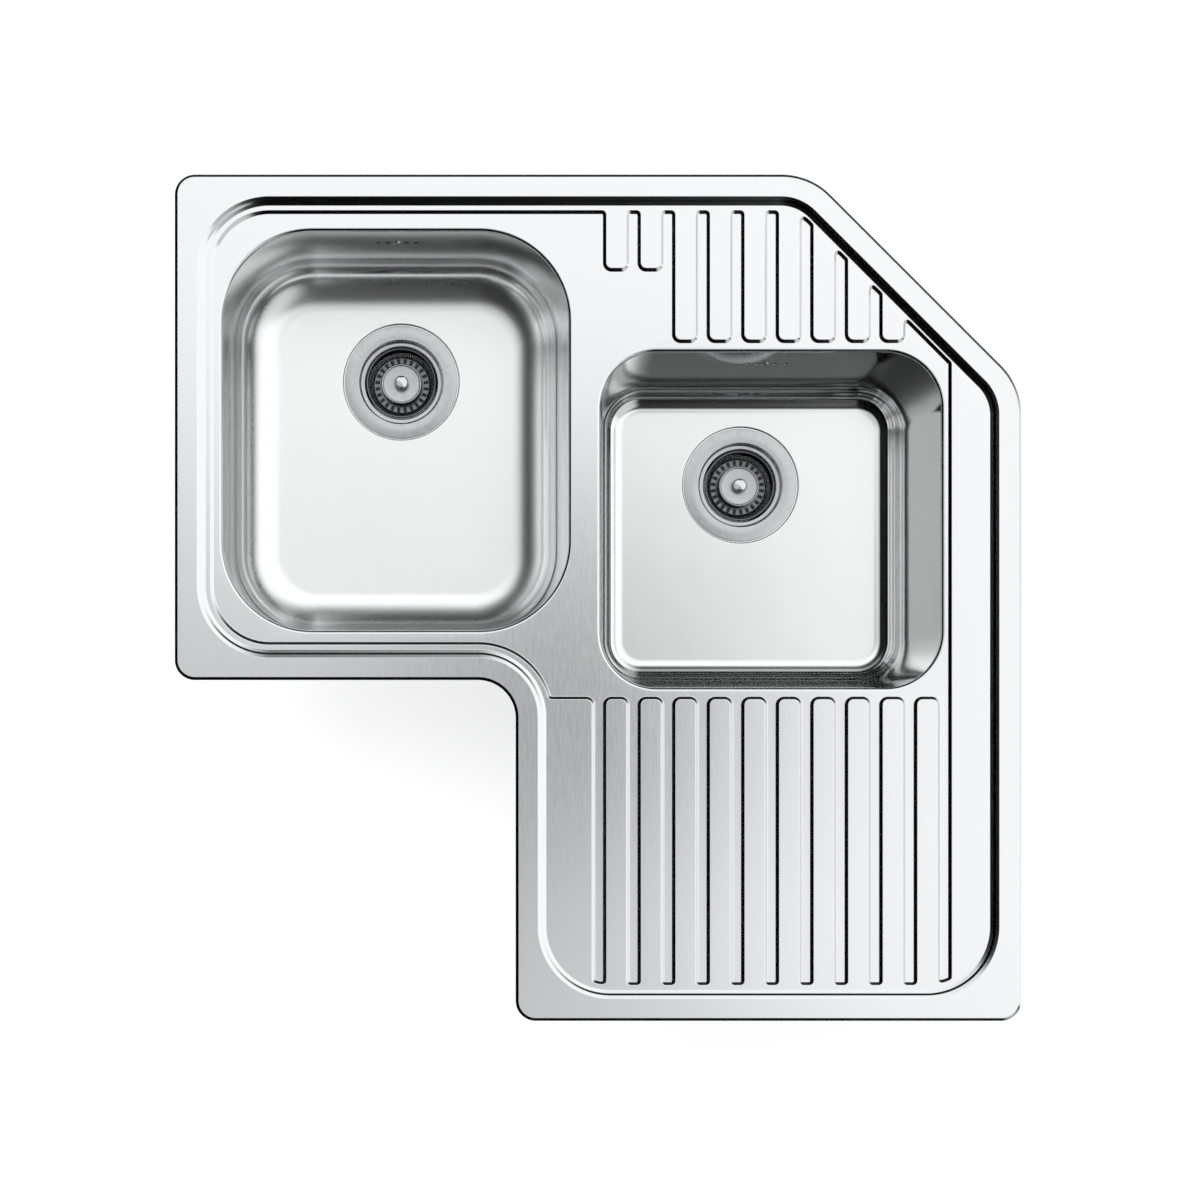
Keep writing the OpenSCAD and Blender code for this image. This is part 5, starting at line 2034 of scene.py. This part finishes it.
@dataclass
class Studio:
    """A pale floor, a light tent that only the metal mirrors, a soft lamp and the camera."""

    floor_z: float = -255.4
    floor_size: float = 40000.0
    # Glow that lifts the floor to white, and the air's light on what isn't metal
    floor_lift: float = 0.55
    air_light: float = 0.7
    tent_r: float = 60000.0
    # Direction, as X and Y of a unit vector, of the dim patch overhead where the camera stands
    dim_patch: Point = (0.035, 0.01)
    dim_from: float = 0.02
    dim_to: float = 0.15
    dim_light: float = 0.31
    open_light: float = 1.25
    # The cloth is greyer towards the near left: light there, and the places between which it grows
    near_left_light: float = 0.58
    near_left: Point = (-0.08, 0.03)
    # Where the tent's cloth ends: a direction, and how far along it the light starts and is full
    cloth_ends: tuple[tuple[Way, Point], ...] = (
        ((1.0, 0.0, 0.0), (-0.53, -0.46)), ((0.0, 1.0, 0.0), (-0.4, -0.22)), (AWAY, (-0.42, -0.36)),
        ((0.4, -0.25, 1.0), (0.3, 0.6)))
    dark_light: float = 0.015
    # A window low at the front right, which the flat deck mirrors to the back left: its middle, how near
    # to it the light starts and is full, and that light
    window_way: Way = (0.61, -0.61, 0.5)
    window_edge: Point = (0.86, 0.95)
    window_light: float = 0.75
    # The lamp's place and the width of its disc, in metres
    lamp_place: Way = (-0.9, 1.3, 2.6)
    lamp_size: float = 2.2
    lamp_watts: float = 25.0
    # The camera's height over the deck and the place under it
    camera_foot: Point = (-117.5, -117.5)
    camera_z: float = 2324.0
    lens_mm: float = 71.06
    sensor_mm: float = 36.0
    shift: Point = (0.1016, 0.098)

    def world(self) -> None:
        """Even white light; Light Path keeps the background white to the camera and to mirrors."""
        world = bpy.data.worlds.new("studio_air")
        world.use_nodes = True
        tree = world.node_tree
        tree.nodes.clear()
        level = add_node(tree, "MapRange", {
            "Value": white_rays(tree), "To Min": self.air_light, "To Max": 1.0})
        light = add_node(tree, "Background", {"Color": linear("FFFFFF"), "Strength": level})
        add_node(tree, "OutputWorld", {"Surface": light})
        bpy.context.scene.world = world

    def floor(self) -> None:
        """The pale floor under the outlets. Light Path lifts it to white and leaves its shadow."""
        release_all()
        bpy.ops.mesh.primitive_plane_add(size=self.floor_size * MM, location=(0, 0, self.floor_z * MM))
        floor = bpy.context.object
        floor.name = "studio_floor"
        paint = bpy.data.materials.new("matt_white_paint")
        paint.use_nodes = True
        tree = paint.node_tree
        tree.nodes.clear()
        lift = add_node(tree, "Math", {0: white_rays(tree), 1: self.floor_lift}, operation="MULTIPLY")
        shader = add_node(tree, "BsdfPrincipled", {
            "Base Color": linear("E6E6E6"), "Roughness": 0.9, "Specular IOR Level": 0.0,
            "Emission Color": linear("FFFFFF"), "Emission Strength": lift})
        add_node(tree, "OutputMaterial", {"Surface": shader})
        floor.data.materials.append(paint)

    def swell(self, tree: NodeTree, way: Node, direction: Way, edge: Point, light: Point) -> Node:
        """Lets the tent's light change along a direction.

        Args:
            tree: The cloth's node tree.
            way: The node with the direction in which the cloth is seen.
            direction: The direction along which the light changes.
            edge: How far along it the change starts and ends.
            light: The light before and after that.

        Returns:
            The node with the light.
        """
        along = add_node(tree, "VectorMath", {0: way, 1: direction}, operation="DOT_PRODUCT")
        return add_node(tree, "MapRange", {
            "Value": along.outputs["Value"], "From Min": edge[0], "From Max": edge[1], "To Min": light[0],
            "To Max": light[1]}, interpolation_type="SMOOTHSTEP")

    def tent(self) -> None:
        """The tent: bright overhead and to the right and back, dark at the left, front and horizon."""
        release_all()
        bpy.ops.mesh.primitive_uv_sphere_add(segments=64, ring_count=32, radius=self.tent_r * MM,
                                             location=(0, 0, 0))
        tent = bpy.context.object
        tent.name = "light_tent"
        for ray in ("camera", "diffuse", "transmission", "volume_scatter", "shadow"):
            setattr(tent, f"visible_{ray}", False)
        cloth = bpy.data.materials.new("tent_cloth")
        cloth.use_nodes = True
        cloth.cycles.emission_sampling = "NONE"
        tree = cloth.node_tree
        tree.nodes.clear()
        place = add_node(tree, "TexCoord").outputs["Object"]
        way = add_node(tree, "VectorMath", {0: place}, operation="NORMALIZE")
        parts = add_node(tree, "SeparateXYZ", {0: way})
        flat = add_node(tree, "CombineXYZ", {0: parts.outputs["X"], 1: parts.outputs["Y"]})
        off = add_node(tree, "VectorMath", {0: flat, 1: (*self.dim_patch, 0.0)}, operation="DISTANCE")
        total = add_node(tree, "MapRange", {
            "Value": off.outputs["Value"], "From Min": self.dim_from, "From Max": self.dim_to,
            "To Min": self.dim_light, "To Max": self.open_light}, interpolation_type="SMOOTHSTEP")
        shades = [(AWAY, self.near_left, self.near_left_light)]
        for direction, edge, light in shades + [(*end, self.dark_light) for end in self.cloth_ends]:
            shade = self.swell(tree, way, direction, edge, (light, 1.0))
            total = add_node(tree, "Math", {0: total, 1: shade}, operation="MULTIPLY")
        window = self.swell(tree, way, self.window_way, self.window_edge, (0.0, self.window_light))
        total = add_node(tree, "Math", {0: total, 1: window}, operation="MAXIMUM")
        glow = add_node(tree, "Emission", {"Color": linear("FFFFFF"), "Strength": total})
        add_node(tree, "OutputMaterial", {"Surface": glow})
        tent.data.materials.append(cloth)

    def lamp(self) -> None:
        """A large soft lamp behind the left shoulder, for the shadows of what isn't metal."""
        data = bpy.data.lights.new("soft_lamp", "AREA")
        data.shape = "DISK"
        data.size = self.lamp_size
        data.energy = self.lamp_watts
        lamp = bpy.data.objects.new("soft_lamp", data)
        lamp.location = self.lamp_place
        lamp.rotation_euler = (Vector((0, 0, 0)) - lamp.location).to_track_quat("-Z", "Y").to_euler()
        lamp.visible_glossy = False
        bpy.context.scene.collection.objects.link(lamp)

    def camera(self) -> None:
        """The camera, straight above the sink and looking down."""
        data = bpy.data.cameras.new("camera")
        data.lens = self.lens_mm
        data.sensor_width = self.sensor_mm
        data.shift_x, data.shift_y = self.shift
        data.clip_end = 200.0
        camera = bpy.data.objects.new("camera", data)
        camera.location = Vector((*self.camera_foot, self.camera_z)) * MM
        bpy.context.scene.collection.objects.link(camera)
        bpy.context.scene.camera = camera

    def add(self) -> None:
        """Sets up the studio."""
        self.world()
        self.floor()
        self.tent()
        self.lamp()
        self.camera()
        bpy.context.scene.view_settings.view_transform = "Standard"


def main() -> None:
    """Builds the sub-assemblies in order."""
    logging.basicConfig(level=logging.INFO, format="%(name)s: %(message)s")
    Deck().add()
    UnderDeck().add()
    for mouth in MOUTHS:
        Bowl(mouth).add()
        Strainer(mouth).add()
        Waste(mouth).add()
        Overflow(mouth).add()
    HoseClamps().add()
    Clips().add()
    Studio().add()


if __name__ == "__main__":
    main()
